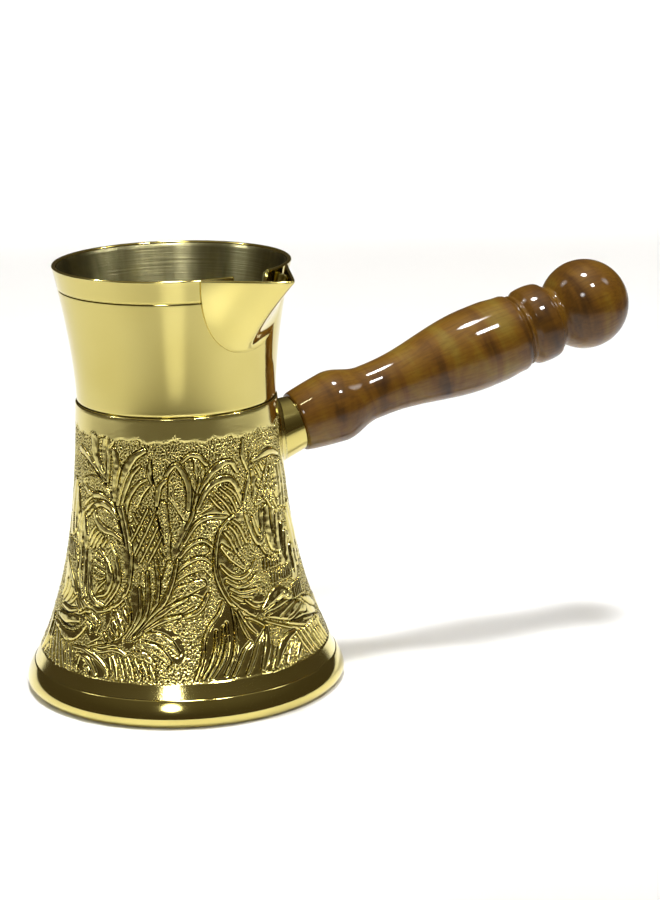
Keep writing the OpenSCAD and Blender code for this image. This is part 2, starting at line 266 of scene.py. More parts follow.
def wiped_tin():
    """Tin wiped on hot and scoured round and round: grey-olive, with fine rings that draw light into upright
    streaks."""
    m, t, p = new_material("wiped_tin", Metallic=1.0, Anisotropic=0.85, Anisotropic_Rotation=0.25)
    where = add(t, "ShaderNodeTexCoord").outputs["Object"]
    around = add(t, "ShaderNodeTangent", {"direction_type": "RADIAL", "axis": "Z"}).outputs[0]
    t.links.new(around, p.inputs["Tangent"])
    stretched = add(t, "ShaderNodeMapping", Vector=where, Scale=(60, 60, 2600)).outputs[0]
    rings = add(t, "ShaderNodeTexNoise", Vector=stretched, Scale=1.0, Detail=4.0).outputs[0]
    upright = add(t, "ShaderNodeMapping", Vector=where, Scale=(130, 130, 9)).outputs[0]
    cloud = add(t, "ShaderNodeTexNoise", Vector=upright, Scale=1.0, Detail=3.0).outputs[0]
    tone = ramp(t, cloud, (0.3, colour("#6c6745")), (0.7, colour("#b2ac82")))
    t.links.new(tone, p.inputs["Base Color"])
    rough = add(t, "ShaderNodeMapRange", Value=cloud, n1=0.3, n2=0.7, n3=0.5, n4=0.26).outputs[0]
    t.links.new(rough, p.inputs["Roughness"])
    bump = add(t, "ShaderNodeBump", Height=rings, Strength=0.8, Distance=0.00016).outputs[0]
    t.links.new(bump, p.inputs["Normal"])
    return m


def flowed_solder():
    """Silver solder as it froze: pale grey-yellow, lumpy and a little dull."""
    m, t, p = new_material("flowed_solder", Metallic=1.0, Roughness=0.38)
    where = add(t, "ShaderNodeTexCoord").outputs["Object"]
    lumps = add(t, "ShaderNodeTexNoise", Vector=where, Scale=900.0, Detail=3.0).outputs[0]
    t.links.new(ramp(t, lumps, (0.3, colour("#8d865f")), (0.7, colour("#c6c093"))), p.inputs["Base Color"])
    bump = add(t, "ShaderNodeBump", Height=lumps, Strength=0.5, Distance=0.0003).outputs[0]
    t.links.new(bump, p.inputs["Normal"])
    return m


def bright_steel():
    """Drawn steel screw stock: cool grey with lines along its length."""
    m, t, p = new_material("bright_steel", Metallic=1.0, Roughness=0.3)
    where = add(t, "ShaderNodeTexCoord").outputs["Object"]
    lines = add(t, "ShaderNodeTexNoise", Vector=where, Scale=1500.0, Detail=2.0).outputs[0]
    t.links.new(ramp(t, lines, (0.3, colour("#8d9093")), (0.7, colour("#a9acaf"))), p.inputs["Base Color"])
    return m


def varnished_wood():
    """Turned hardwood, stained brown and varnished: olive and orange-brown stain in bands round the turning,
    under a clear gloss."""
    m, t, p = new_material("varnished_hardwood", Roughness=0.5, Specular_IOR_Level=0.08, Coat_Weight=0.62,
                           Coat_Roughness=0.035)
    where = add(t, "ShaderNodeTexCoord").outputs["Object"]
    turned_in = add(t, "ShaderNodeMapping", Vector=where, Rotation=(0, HANDLE_RISE, 0)).outputs[0]
    around = add(t, "ShaderNodeMapping", Vector=turned_in, Scale=(150, 35, 35)).outputs[0]
    cloud = add(t, "ShaderNodeTexNoise", Vector=turned_in, Scale=42.0, Detail=3.0, Distortion=0.6).outputs[0]
    grain = add(t, "ShaderNodeTexNoise", Vector=around, Scale=1.0, Detail=4.0, Distortion=0.8).outputs[0]
    fibre_at = add(t, "ShaderNodeMapping", Vector=turned_in, Scale=(90, 1500, 1500)).outputs[0]
    fibre = add(t, "ShaderNodeTexNoise", Vector=fibre_at, Scale=1.0, Detail=3.0).outputs[0]
    half_cloud = add(t, "ShaderNodeMath", {"operation": "MULTIPLY"}, n0=cloud, n1=0.5).outputs[0]
    mixed = add(t, "ShaderNodeMath", {"operation": "MULTIPLY_ADD"},
                n0=grain, n1=0.5, n2=half_cloud).outputs[0]
    tone = ramp(t, mixed, (0.36, colour("#3d2507")), (0.45, colour("#603f0e")),
                (0.54, colour("#714f12")), (0.64, colour("#7b6320")))
    shade = add(t, "ShaderNodeMix", {"data_type": "RGBA", "blend_type": "MULTIPLY"}, Factor=0.35, n6=tone,
                n7=ramp(t, fibre, (0.3, colour("#8a7a6a")), (0.6, colour("#ffffff")))).outputs[2]
    t.links.new(shade, p.inputs["Base Color"])
    bump = add(t, "ShaderNodeBump", Height=fibre, Strength=0.08, Distance=0.0001).outputs[0]
    t.links.new(bump, p.inputs["Normal"])
    return m


BRASS, CHASED, TINNED = polished_brass(), chased_brass(), wiped_tin()
SOLDER, STEEL, WOOD = flowed_solder(), bright_steel(), varnished_wood()

# ---------------------------------------------------------------- the pot

def mouth_angles(count):
    """Angles round the pot, closer together at the two cut edges of the opening behind the lip."""
    edge = np.arcsin(MOUTH_W / 2 / RIM_R)
    even = np.arange(count) * 2 * np.pi / count
    inside = np.linspace(-edge, edge, 40)[1:-1]
    step = 0.04 / RIM_R
    extra = LIP_TURN + np.concatenate([inside, [-edge - step, -edge + step, edge - step, edge + step]])
    near = np.abs((even - LIP_TURN + np.pi) % (2 * np.pi) - np.pi) < edge + 2 * step
    return np.sort(np.concatenate([even[~near], extra % (2 * np.pi)]))


def top_edge(angles, top):
    """Height of the wall's upper edge: the rim, or the round-ended cut behind the lip."""
    off = (angles - LIP_TURN + np.pi) % (2 * np.pi) - np.pi
    x = RIM_R * np.sin(off)
    half = MOUTH_W / 2
    inside = (np.abs(x) < half) & (np.abs(off) < 1)
    cut = RIM_Z - MOUTH_H + half - np.sqrt(np.maximum(half ** 2 - x ** 2, 0))
    return np.where(inside, np.minimum(cut, top), top)


def build_neck():
    """Wall outline at each angle: spigot, outer face with one turned line, round rim, inner face."""
    angles = mouth_angles(440)
    top = top_edge(angles, RIM_Z)[:, None]
    groove, width, deep = RIM_Z - 6.0, 0.24, 0.22  # the turned line
    split = 98.0  # rows are even below this height and crowd at the turned line above it
    low = np.linspace(SHOULDER_Z, split, 22)[None, :] + 0 * top
    near_line = np.linspace(0.5, 0.72, 34)
    t = np.concatenate([np.linspace(0, 0.5, 14)[:-1], near_line, np.linspace(0.72, 1, 14)[1:]])
    high = split + (top - RIM_ROUND - split) * t
    zo = np.concatenate([low[:, :-1], high], 1)
    ro = neck_r(zo) - deep * np.exp(-((zo - groove) / width) ** 2)
    a = np.linspace(0, np.pi, 13)
    rt = neck_r(top) - RIM_ROUND + RIM_ROUND * np.cos(a)
    zt = top - RIM_ROUND + RIM_ROUND * np.sin(a)
    zi = (top - RIM_ROUND) + (SHOULDER_Z + NECK_WALL - top + RIM_ROUND) * np.linspace(0, 1, 30)[1:]
    ri = neck_r(zi) - NECK_WALL
    end = SHOULDER_Z - LAP
    spigot = np.array([[SPIGOT_R - SPIGOT_WALL, end], [SPIGOT_R, end], [SPIGOT_R, SHOULDER_Z - 0.05]])
    spigot = np.broadcast_to(spigot, (len(angles), 3, 2))
    wall = np.stack([np.concatenate([ro, rt[:, 1:], ri], 1), np.concatenate([zo, zt[:, 1:], zi], 1)], -1)
    shell("neck_collar", np.concatenate([spigot, wall], 1), angles, BRASS, ["neck"])


def build_base():
    """Flat floor, a rounded foot that slopes in as height to the power 1.45, and the upstand inside the
    body's skirt, in one turned outline."""
    corner = 2.6
    step_r = BODY_FOOT_R + 0.3
    a = np.radians(np.linspace(-90, 0, 18))
    lower = np.stack([FOOT_R - corner + corner * np.cos(a), corner + corner * np.sin(a)], 1)
    b = np.linspace(0, 1, 26)[1:]
    upper = np.stack([FOOT_R - (FOOT_R - step_r) * b ** 1.45, corner + (FOOT_Z - 0.3 - corner) * b], 1)
    step = [[step_r - 0.12, FOOT_Z - 0.16], [step_r - 0.5, FOOT_Z - 0.1], [step_r - 1.2, FOOT_Z - 0.06]]
    up = np.linspace(FOOT_Z + 0.2, FOOT_Z + LAP, 8)
    skirt = np.stack([body_r(up) - BODY_WALL - FILM, up], 1)
    hollow = floor_corner(np.linspace(90, 0, 10))
    floor = np.linspace(0.96, 0.04, 9)[:, None] * [FOOT_R - corner, 0]
    profile = np.concatenate([
        [[0, 0]], floor[::-1], lower, upper, step, skirt, [[UPSTAND_IN, FOOT_Z + LAP]], hollow,
        [[10, BASE_WALL], [0, BASE_WALL]]])
    turned("rounded_foot", profile, 420, BRASS, ["base_pan"])


def build_tin():
    """The skin that lines the floor, the body and the neck, a little thicker than one coat of tin."""
    angles = mouth_angles(300)
    top = top_edge(angles, TIN_TOP)[:, None]
    up = np.linspace(FOOT_Z + LAP + 0.5, SHOULDER_Z - LAP, 40)
    corner = floor_corner(np.linspace(0, 90, 10))
    spigot_in = SPIGOT_R - SPIGOT_WALL

    def line(inset, lift):
        """The wall's inner face from floor to rim, moved in by inset and its ledges up by lift."""
        fixed = np.concatenate([
            corner + [-inset, lift], [[UPSTAND_IN - inset, FOOT_Z + LAP + lift]],
            [[body_r(FOOT_Z + LAP) - BODY_WALL - inset, FOOT_Z + LAP + lift]],
            np.stack([body_r(up) - BODY_WALL - inset, up], 1),
            [[spigot_in - inset, SHOULDER_Z - LAP - lift]]])
        fixed = np.broadcast_to(fixed, (len(angles), *fixed.shape))
        z = SHOULDER_Z + NECK_WALL + (top - SHOULDER_Z - NECK_WALL) * np.linspace(0, 1, 40)
        return np.concatenate([fixed, np.stack([neck_r(z) - NECK_WALL - inset, z], -1)], 1)

    centre = [[[4.0, BASE_WALL]]] * len(angles), [[[4.0, BASE_WALL + TIN]]] * len(angles)
    outline = np.concatenate([centre[0], line(0.0, 0.0), line(TIN, TIN)[:, ::-1], centre[1]], 1)
    shell("tinned_inside", outline, angles, TINNED, ["tin_lining"])
    disc = np.array([[0, BASE_WALL], [4.0, BASE_WALL], [4.0, BASE_WALL + TIN], [0, BASE_WALL + TIN]])
    turned("tinned_floor_centre", disc, 48, TINNED, ["tin_lining"])


# ---------------------------------------------------------------- the chased leaves

REPEAT = 180.0  # the leaves come round again after this many degrees
FIELD_TOP, FIELD_LOW = 71.3, 10.9
WIDEN = 1.2  # every stroke is this much wider than its listed half-width
PAD_Z, PAD_REACH = 64.8, 14.5  # the plain patch round the socket: its middle's height and its radius
EDGE = 0.42  # rounding of the body's top edge

# A stroke is its half-width in millimetres at the start, middle and end, then the points it passes through,
# each as degrees round the pot and millimetres of height. Later strokes lie over earlier ones.

# smooth ground between leaves
FLATS = [
    (1.0, 1.3, 1.2, -147, 57, -141, 50, -137, 44, -135.5, 38),
    (0.8, 1.5, 1.3, -139, 53, -134, 46, -133, 40),
    (0.6, 0.9, 0.9, -104, 60, -105, 53, -108, 47, -112, 43),
    (0.6, 0.9, 0.9, -95, 60, -99, 54.5, -103, 50, -108, 46.5),
    (0.5, 0.9, 0.9, -101, 50.5, -95, 52.3, -88, 52.5, -82, 51.5, -75, 50),
    (1.4, 2.6, 2.2, -86, 48, -89, 41, -87, 33, -80, 29, -72, 27.5),
    (2.0, 4.5, 4.0, -90, 28, -92, 22, -94, 16, -96, 13),
    (3.5, 4.5, 3.5, -82, 24, -83, 18, -86, 13),
    (1.5, 3.5, 2.5, -74, 22, -76, 16, -78, 12.5),
    (0.8, 1.0, 0.8, -118, 31.5, -108, 31.3, -100, 32.3, -98, 36),
    (0.8, 1.0, 0.8, -116, 28, -107, 28, -101, 29, -98, 32),
    (0.9, 1.0, 0.9, -119, 23.5, -114, 22.5, -110.5, 19, -112, 16.5, -118, 18, -122, 20),
    (1.0, 1.6, 1.0, -172, 33, -166, 28, -160, 25, -153, 21, -146, 18.5, -138, 20.5),
    (1.0, 1.4, 1.0, -145, 27, -143, 23, -146, 20),
    (1.6, 2.2, 1.6, -158, 14, -150, 13.5, -143, 13.5, -139, 15.5),
    (1.2, 1.8, 1.2, -133, 20, -131, 26, -131, 33),
    (1.2, 1.8, 1.2, -162, 40, -161, 34, -157, 31, -150, 29.5, -145, 33, -144, 38),
    (2.0, 3.5, 2.5, -184, 34, -176, 28, -168, 26),
    (3.0, 4.5, 3.0, -62, 47, -55, 45, -47, 41, -40, 36),
    (2.0, 3.0, 2.4, -66, 26, -56, 25, -44, 21, -32, 18),
]

# leaf fingers whose face is dotted inside a smooth border
LEAVES = [
    (1.0, 1.9, 0.8, -155.8, 61, -156.4, 66, -155.5, 70),
    (0.7, 1.5, 0.8, -148.4, 60, -148.6, 65, -147.8, 69.5),
    (0.7, 1.7, 1.0, -147, 54.5, -154, 57.8, -162, 59, -170, 58.5),
    (0.8, 1.9, 1.3, -141.5, 46, -148, 49.4, -154, 51, -159, 51.5),
    (0.6, 1.3, 0.9, -136, 51, -132, 57, -126, 60.5),
    (0.9, 3.0, 1.2, -106, 52, -108, 58, -112, 63),
    (0.8, 2.2, 1.0, -116, 40, -119, 47, -118, 55),
    (0.6, 1.4, 0.7, -99.5, 59, -101.5, 63, -104, 66.5),
    (0.5, 1.2, 0.7, -97.5, 60, -97.5, 64, -99, 67),
    (0.8, 2.9, 1.6, -100, 53, -90, 57.2, -81, 57, -76, 54.5),
    (0.8, 2.2, 1.2, -108, 44, -100, 48, -91, 48.6, -86, 49),
    (0.7, 1.7, 0.9, -112, 39, -104, 42.5, -97, 43.3),
    (0.6, 1.2, 0.8, -114, 35.5, -106, 38.6, -98, 39.4, -94, 37),
    (0.7, 1.45, 0.9, -119, 30, -110, 32.9, -103, 34.4, -99.5, 34.9),
    (0.7, 1.45, 0.9, -119, 27, -110, 29.5, -104.5, 30.7, -101.5, 30.4),
    (0.6, 1.1, 0.5, -129, 22.3, -122, 22, -116, 20.8, -112, 18.3),
    (0.6, 1.0, 0.5, -129, 20, -122, 19.2, -118, 17.6, -115.5, 16),
    (0.5, 0.9, 0.5, -131, 17.8, -125, 17, -121.5, 15.2),
    (0.5, 1.0, 0.6, -88, 43.5, -83, 40.6, -77.5, 37.5),
    (0.5, 1.3, 0.8, -128, 28, -127, 32, -127.5, 37),
    (0.5, 1.4, 0.8, -124, 27.5, -122.8, 33, -124, 39),
    (0.5, 1.5, 0.9, -119.5, 30, -116.5, 35, -114.5, 40),
]

# smooth rounded fingers, stems and borders
RIBS = [
    (0.3, 0.7, 0.9, -152, 59.8, -160, 62.6, -168, 65.2, -176, 66.4),
    (0.3, 1.0, 1.3, -151.5, 60.6, -156.5, 63.2, -160.5, 66.8, -161.5, 71.5),
    (0.3, 0.5, 0.8, -151, 60.8, -152.3, 64.5, -153.4, 68, -152, 71),
    (0.3, 0.5, 0.9, -150.3, 60, -150, 64, -149.8, 68, -148, 70.8),
    (0.6, 1.05, 0.6, -146, 55.5, -145, 60, -144.2, 64.5, -146.5, 68.5),
    (0.4, 1.05, 0.6, -143.5, 54.5, -141.3, 60, -137.5, 64.4, -133, 67.2, -127.5, 68.8),
    (0.3, 0.55, 0.3, -141, 54.5, -138.5, 58.5, -135, 62.3, -130, 64.8),
    (0.3, 0.5, 0.3, -138.6, 52, -136.5, 56.5, -131.5, 60, -126, 61.6),
    (0.2, 0.6, 0.2, -123.5, 60.5, -124.6, 63, -124, 66.5),
    (0.4, 0.75, 0.6, -145, 52.8, -150, 55, -156.5, 55.9, -164, 55.6, -169, 57.2),
    (0.4, 0.75, 0.6, -143, 50.8, -148, 53, -153.5, 54, -158.5, 53.3, -161.3, 51.3),
    (0.4, 0.8, 0.6, -140.8, 45.5, -146, 46.9, -152, 47.5, -158, 49.4, -160.5, 52),
    (0.3, 0.45, 0.3, -162, 53.5, -165, 52.4, -168.5, 50.8),
    (0.3, 0.45, 0.3, -163, 55, -166.5, 53.8, -169.5, 52.4),
    (0.3, 0.45, 0.3, -161.5, 52, -164.5, 50.6, -167, 49.6),
    (0.3, 0.45, 0.3, -158.5, 47.5, -161.5, 46, -163.5, 43.8),
    (0.3, 0.45, 0.3, -156.5, 46.5, -159.5, 45, -161.5, 42.6),
    (0.3, 0.45, 0.3, -154.5, 46, -157.5, 44.2, -159, 42.2),
    (0.3, 0.45, 0.3, -152.5, 45.6, -155, 43.8, -156.5, 42),
    (0.3, 0.45, 0.3, -150, 45, -152.5, 43.2, -153.5, 41.6),
    (1.3, 1.5, 0.7, -184, 44, -185.5, 52, -183, 57.5),
    (1.4, 2.0, 0.9, -176.5, 42, -178.2, 50, -179, 55.8),
    (1.2, 2.1, 1.0, -167.8, 40, -169, 45, -169.3, 49),
    (0.5, 0.7, 0.5, -173.6, 42, -173, 46.5, -170.6, 50.6),
    (0.3, 0.45, 0.35, -140.3, 54, -136.6, 47.5, -134.8, 42, -134.6, 37),
    (0.25, 0.3, 0.25, -134.5, 49.5, -124.5, 40),
    (0.25, 0.3, 0.25, -134, 52.6, -120.5, 40.3),
    (0.25, 0.3, 0.25, -131.5, 53.6, -118.5, 41.8),
    (0.25, 0.3, 0.25, -128, 53.7, -118.5, 45),
    (0.25, 0.3, 0.25, -125, 54, -118.8, 48.3),
    (0.25, 0.3, 0.25, -132.5, 42, -122.5, 52.5),
    (0.25, 0.3, 0.25, -129.5, 40.5, -120.5, 49.6),
    (0.25, 0.3, 0.25, -125.5, 40.4, -118.6, 47),
    (0.25, 0.3, 0.25, -134.5, 45.6, -126, 53.8),
    (0.4, 0.65, 0.5, -117, 61, -114, 63.8, -110, 65.3, -106, 62.7, -103.7, 59, -104.3, 54),
    (0.4, 0.6, 0.5, -121, 55, -119.5, 59.5, -116, 61.5),
    (0.35, 0.6, 0.5, -107, 66, -102.5, 67.6, -97.5, 67.2, -93.5, 65),
    (0.3, 0.4, 0.3, -97.5, 61.5, -100, 56.5, -102.6, 52, -106, 49),
    (0.4, 0.85, 0.5, -97.5, 58, -92.5, 62, -86, 64.3, -79.5, 64.8, -75.5, 62),
    (0.4, 0.85, 0.5, -99.5, 54, -94.5, 58.2, -88.5, 60.4, -81.5, 60.6, -77, 58.5, -73, 53.4),
    (0.2, 0.35, 0.2, -87, 58.4, -81, 55.6, -78, 52),
    (0.2, 0.35, 0.2, -90, 57.4, -84.5, 54.5, -81, 51.6),
    (0.2, 0.35, 0.2, -92.5, 56.5, -88.5, 54, -86, 52.8),
    (0.2, 0.35, 0.2, -84, 59, -78.5, 56.8, -75.5, 53.5),
    (0.3, 0.5, 0.35, -107, 45.5, -100.5, 50, -93, 51.4, -84, 50.8),
    (0.3, 0.45, 0.3, -112, 40.5, -104.5, 44.6, -97.5, 45.6, -92, 43.5),
    (0.3, 0.45, 0.3, -115, 36.5, -107, 40, -99, 41.3, -93.6, 39.5),
    (0.3, 0.5, 0.4, -112, 26.6, -106, 27.2, -101, 28.6, -97, 32),
    (0.35, 0.45, 0.3, -80, 51, -86, 49, -89.6, 46.4, -91.6, 42.5, -92.4, 38, -90.6, 33.5,
     -86.5, 29, -80, 25.6, -72, 22.6),
    (0.3, 0.4, 0.3, -83, 48.5, -79.6, 46.5, -77.5, 43),
    (0.3, 0.4, 0.3, -81, 49.6, -77, 47.6, -74, 43.6),
    (0.3, 0.4, 0.3, -86, 47, -83, 44.8, -80.5, 41.6),
    (0.3, 0.5, 0.3, -89.5, 38.5, -85, 36, -80, 35, -74.5, 36, -70, 38.6),
    (0.3, 0.5, 0.3, -87.5, 34.8, -82, 32.8, -76, 33, -70.5, 35),
    (0.3, 0.45, 0.3, -86, 32.8, -80.5, 31.3, -72, 31.3),
    (0.25, 0.4, 0.25, -86, 31.2, -81, 29.4, -76, 29),
    (0.25, 0.4, 0.25, -79, 29.2, -74, 27.2, -68, 27),
    (0.25, 0.3, 0.3, -90.3, 29.8, -93, 27, -98, 24, -100.8, 20.5, -101.5, 17, -105, 11.8),
    (0.2, 0.35, 0.3, -95, 22.8, -95.8, 19, -98.6, 15, -102, 12),
    (0.2, 0.35, 0.3, -89.8, 24.4, -90.4, 20.4, -93, 16, -98, 12.2),
    (0.2, 0.3, 0.25, -91.6, 23.6, -92.8, 19.4, -95.8, 15.4, -99.8, 12.2),
    (0.2, 0.35, 0.25, -86.4, 28, -86, 24, -87, 19, -89.6, 15.4, -93, 12.4),
    (0.2, 0.3, 0.2, -84.6, 26.6, -82.6, 22.4, -81, 20),
    (0.2, 0.35, 0.2, -83.4, 27, -79.4, 22.6, -76.6, 20.6),
    (0.2, 0.35, 0.2, -80.5, 25, -76, 24, -71.5, 22),
    (0.25, 0.4, 0.3, -80, 18.8, -84, 17, -87.6, 13.8, -90, 11.8),
    (0.25, 0.45, 0.3, -72.5, 20.6, -77, 18, -80.2, 15, -84, 11.8),
    (0.4, 0.9, 0.5, -70.4, 21.8, -72, 17.4, -77, 12),
    (0.3, 0.6, 0.4, -64.5, 18, -68.6, 14, -72.6, 11.6),
    (0.5, 0.9, 0.8, -64.5, 52.6, -58, 53, -51.5, 50.6, -45.5, 46.4, -40, 41.8, -36, 36.6),
    (0.4, 0.7, 0.4, -72.5, 50.5, -69.5, 45.6, -65.5, 42.5, -60.6, 45.4, -60, 51),
    (0.3, 0.5, 0.3, -68.6, 49.5, -66.6, 46, -64.5, 44.6, -62.6, 47, -62.6, 50.6),
    (0.7, 1.1, 0.8, -57.4, 51, -58, 45, -55.2, 40.4, -52.6, 45, -52.4, 50),
    (0.7, 1.1, 0.8, -49.6, 48, -52, 40, -50.5, 35.8, -46.4, 36, -45, 41, -44, 44.6),
    (0.7, 1.1, 0.8, -42.4, 42.4, -45.6, 34.6, -43.4, 31, -39.6, 32, -38, 38),
    (0.8, 1.3, 0.8, -34, 33, -33, 40, -36, 48),
    (0.8, 1.3, 0.8, -29, 34, -27.5, 41, -31, 49),
    (0.35, 0.6, 0.35, -73, 54, -70, 58, -66.5, 61.6, -66, 66),
    (0.35, 0.9, 0.4, -66, 54.6, -64.5, 58, -65.6, 61.5),
    (0.3, 0.5, 0.3, -69, 62, -71.5, 66, -70.5, 70),
    (0.5, 0.9, 0.5, -64.5, 64, -56, 64.6, -47, 64.6, -38, 63),
    (0.5, 0.9, 0.5, -45, 59.8, -44.2, 54.6, -44.8, 50.4),
    (0.5, 0.9, 0.5, -40.6, 60.4, -40, 55, -41.4, 49.6),
    (0.5, 0.9, 0.5, -36.2, 60.6, -35.4, 55.4, -37, 49),
    (0.25, 0.3, 0.25, -62.5, 62, -47.5, 50),
    (0.25, 0.3, 0.25, -59, 62.6, -46, 52.4),
    (0.25, 0.3, 0.25, -55, 62.8, -46.4, 56),
    (0.25, 0.3, 0.25, -63, 58, -53, 50.6),
    (0.25, 0.3, 0.25, -63, 54, -52, 62.4),
    (0.25, 0.3, 0.25, -58, 53.6, -48.4, 61.4),
    (0.25, 0.3, 0.25, -52.6, 52, -46.6, 57.4),
    (0.5, 1.7, 0.9, -70, 26.2, -62, 28.4, -55.5, 28.2, -51.2, 26.6),
    (0.5, 1.9, 0.9, -68, 24, -57, 23.2, -47.5, 23.4, -41.2, 22),
    (0.5, 1.3, 0.9, -57, 20.2, -47, 19, -38, 18, -29, 17),
    (0.4, 1.0, 0.7, -40, 24.6, -33, 22.6, -27, 20.6),
    (0.25, 0.4, 0.3, -70.5, 23, -62, 20.8, -52, 18.4, -41, 16.5, -28, 14.8),
    (0.4, 1.0, 0.5, -70.5, 11.8, -65.5, 15.6, -60, 17.6, -54.5, 18),
    (0.4, 0.8, 0.4, -64.5, 11.8, -60, 14.6, -55, 16.6),
    (0.4, 0.7, 0.4, -59, 11.8, -55.6, 13.8, -52.6, 15.6),
    (0.35, 0.5, 0.35, -177, 44, -173, 37.6, -169.4, 33.4, -165, 29.8, -160, 27.7, -153, 26.7,
     -146, 27.6, -140, 29.6, -136, 33, -134.8, 37, -134.5, 42),
    (0.4, 0.8, 0.4, -168.2, 42, -168.3, 37, -166.2, 32.6, -163, 29.4),
    (0.3, 0.6, 0.3, -164.8, 41, -164.2, 36, -162.8, 32, -160.6, 29.6),
    (0.35, 0.5, 0.35, -147, 44, -143.4, 41, -141.2, 37.4, -141.2, 34, -144, 31, -147.2, 28.6),
    (0.3, 0.9, 0.4, -154.5, 42.5, -149.6, 39.6, -146.6, 36.6, -146.6, 33.6, -148.4, 31.4, -152.5, 30.4),
    (0.3, 0.45, 0.3, -159.6, 38.4, -159.2, 34.4, -157.4, 30.8, -154, 29.1, -149, 28.4),
    (0.2, 0.4, 0.2, -157.6, 41, -153, 40, -150.5, 39.4),
    (0.2, 0.4, 0.2, -157.6, 39.2, -153, 38.3, -150, 37.8),
    (0.2, 0.4, 0.2, -157.6, 37.4, -153, 36.7, -149.5, 36.2),
    (0.2, 0.4, 0.2, -157.4, 35.4, -153, 34.8, -149.5, 35.2),
    (0.2, 0.4, 0.2, -154.5, 30.8, -152.6, 32.8, -149, 34.4),
    (0.5, 0.8, 0.4, -185, 36, -178.5, 34, -173, 31.6, -169, 29, -165, 26.4, -161, 24.8),
    (0.5, 1.2, 0.7, -182, 22.2, -174, 22.3, -168, 22.9, -162.8, 23.2),
    (0.4, 0.6, 0.4, -180, 24.8, -172, 24.6, -166, 25.4),
    (0.3, 0.5, 0.3, -176.6, 26.2, -174, 28, -172, 30),
    (0.3, 0.5, 0.3, -180.4, 26.4, -178, 28.6, -176.6, 31),
    (0.3, 0.5, 0.3, -172.6, 26.2, -170.4, 27.4, -168.6, 28.4),
    (0.3, 0.5, 0.3, -184.6, 26.6, -182, 29, -181, 31.4),
    (0.5, 1.1, 0.5, -182, 19.6, -174, 18.6, -167, 18.5, -161.4, 19.8, -156.6, 23),
    (0.3, 0.4, 0.3, -162.4, 24.8, -158.4, 26, -153, 25.6, -149.4, 23.6, -150, 21.6),
    (0.25, 0.4, 0.25, -158.5, 24.8, -155, 24.2, -152.6, 22.6),
    (0.25, 0.4, 0.25, -157, 23.4, -154.6, 22.6, -153.4, 21.2),
    (0.25, 0.4, 0.25, -155.4, 25.4, -152, 24.6, -150.6, 23),
    (0.3, 0.4, 0.3, -142.8, 27.6, -142.4, 25, -144.2, 22, -148, 19.4, -152.6, 18),
    (0.3, 0.5, 0.3, -136.4, 31, -134.2, 28, -134.6, 24.6, -138, 21.6, -143, 20, -148, 19.2),
    (0.3, 0.75, 0.3, -140.4, 27, -138.4, 24.6, -136.4, 23.2),
    (0.3, 0.75, 0.3, -142, 25, -140.4, 23.2, -138.8, 21.8),
    (0.3, 0.7, 0.3, -143.4, 22.8, -142.2, 21.4, -141.2, 20.4),
    (0.3, 0.75, 0.3, -137.4, 28.4, -136, 26.4, -134.8, 25),
    (0.3, 0.6, 0.3, -146, 21.6, -145, 20.6, -144.4, 19.8),
    (0.3, 0.45, 0.3, -134.4, 21, -130.2, 25, -128.6, 29, -129.6, 34),
    (0.3, 0.5, 0.3, -133.4, 21, -127.4, 26, -125.4, 31, -126, 38),
    (0.3, 0.5, 0.3, -132.4, 21, -125.4, 25.6, -121.6, 30, -120.4, 36, -121.6, 41),
    (0.3, 0.6, 0.3, -131, 21.4, -123.4, 26.6, -117.4, 31, -113.4, 36, -111, 41),
    (0.3, 0.6, 0.3, -129, 22.2, -122, 26.2, -115, 29.2, -107, 31.3),
    (0.3, 0.55, 0.3, -126, 23.4, -118.4, 26, -110, 27.2),
    (0.3, 0.45, 0.3, -150, 17.4, -146, 17.2, -140, 18.2, -134, 17.2, -131, 15),
    (0.4, 0.65, 0.4, -140, 16.4, -138, 14, -136.4, 11.6),
    (0.3, 0.5, 0.3, -136.4, 16.4, -134.8, 14, -133.2, 11.8),
    (0.3, 0.5, 0.3, -133, 16.6, -131, 14.4, -129.4, 12),
    (0.3, 0.5, 0.3, -129.6, 16.4, -127.8, 14.2, -126.4, 12),
    (0.3, 0.5, 0.3, -126.4, 15.8, -124.8, 13.8, -123.6, 12),
    (0.3, 0.5, 0.3, -123, 15, -121.6, 13.2, -120.6, 11.8),
    (0.3, 0.5, 0.3, -162, 16.6, -155, 16.8, -148, 15.6, -142.4, 13.6, -140.6, 11.8),
    (0.3, 0.5, 0.3, -159, 15, -153, 14.9, -148.6, 13, -146.4, 11.6),
    (0.3, 0.5, 0.3, -156.8, 15, -157.6, 13, -156.6, 11.4),
    (0.3, 0.45, 0.3, -152.6, 12.8, -150.6, 12.4, -150, 11.2),
    (0.9, 1.6, 0.7, -190, 20, -188.4, 15, -192, 11.4),
    (0.3, 0.6, 0.3, -184, 20, -183.4, 15, -186, 11.4),
    (0.3, 0.6, 0.3, -178.6, 18.6, -174.4, 15, -170.2, 10.9),
    (0.3, 0.6, 0.3, -175, 18, -171, 14.6, -167, 11),
    (0.3, 0.6, 0.3, -171.6, 17, -168, 14.4, -164, 11),
    (0.3, 0.6, 0.3, -167.4, 17, -164.4, 14.4, -161, 11),
    (0.3, 0.5, 0.3, -164, 16.4, -161.4, 13.8, -159.4, 11.4),
    (0.25, 0.4, 0.25, -181, 17.4, -177.4, 14.4, -173.8, 11.2),
    (0.25, 0.4, 0.25, -182.6, 14.8, -180, 12.8, -178, 11.2),
]

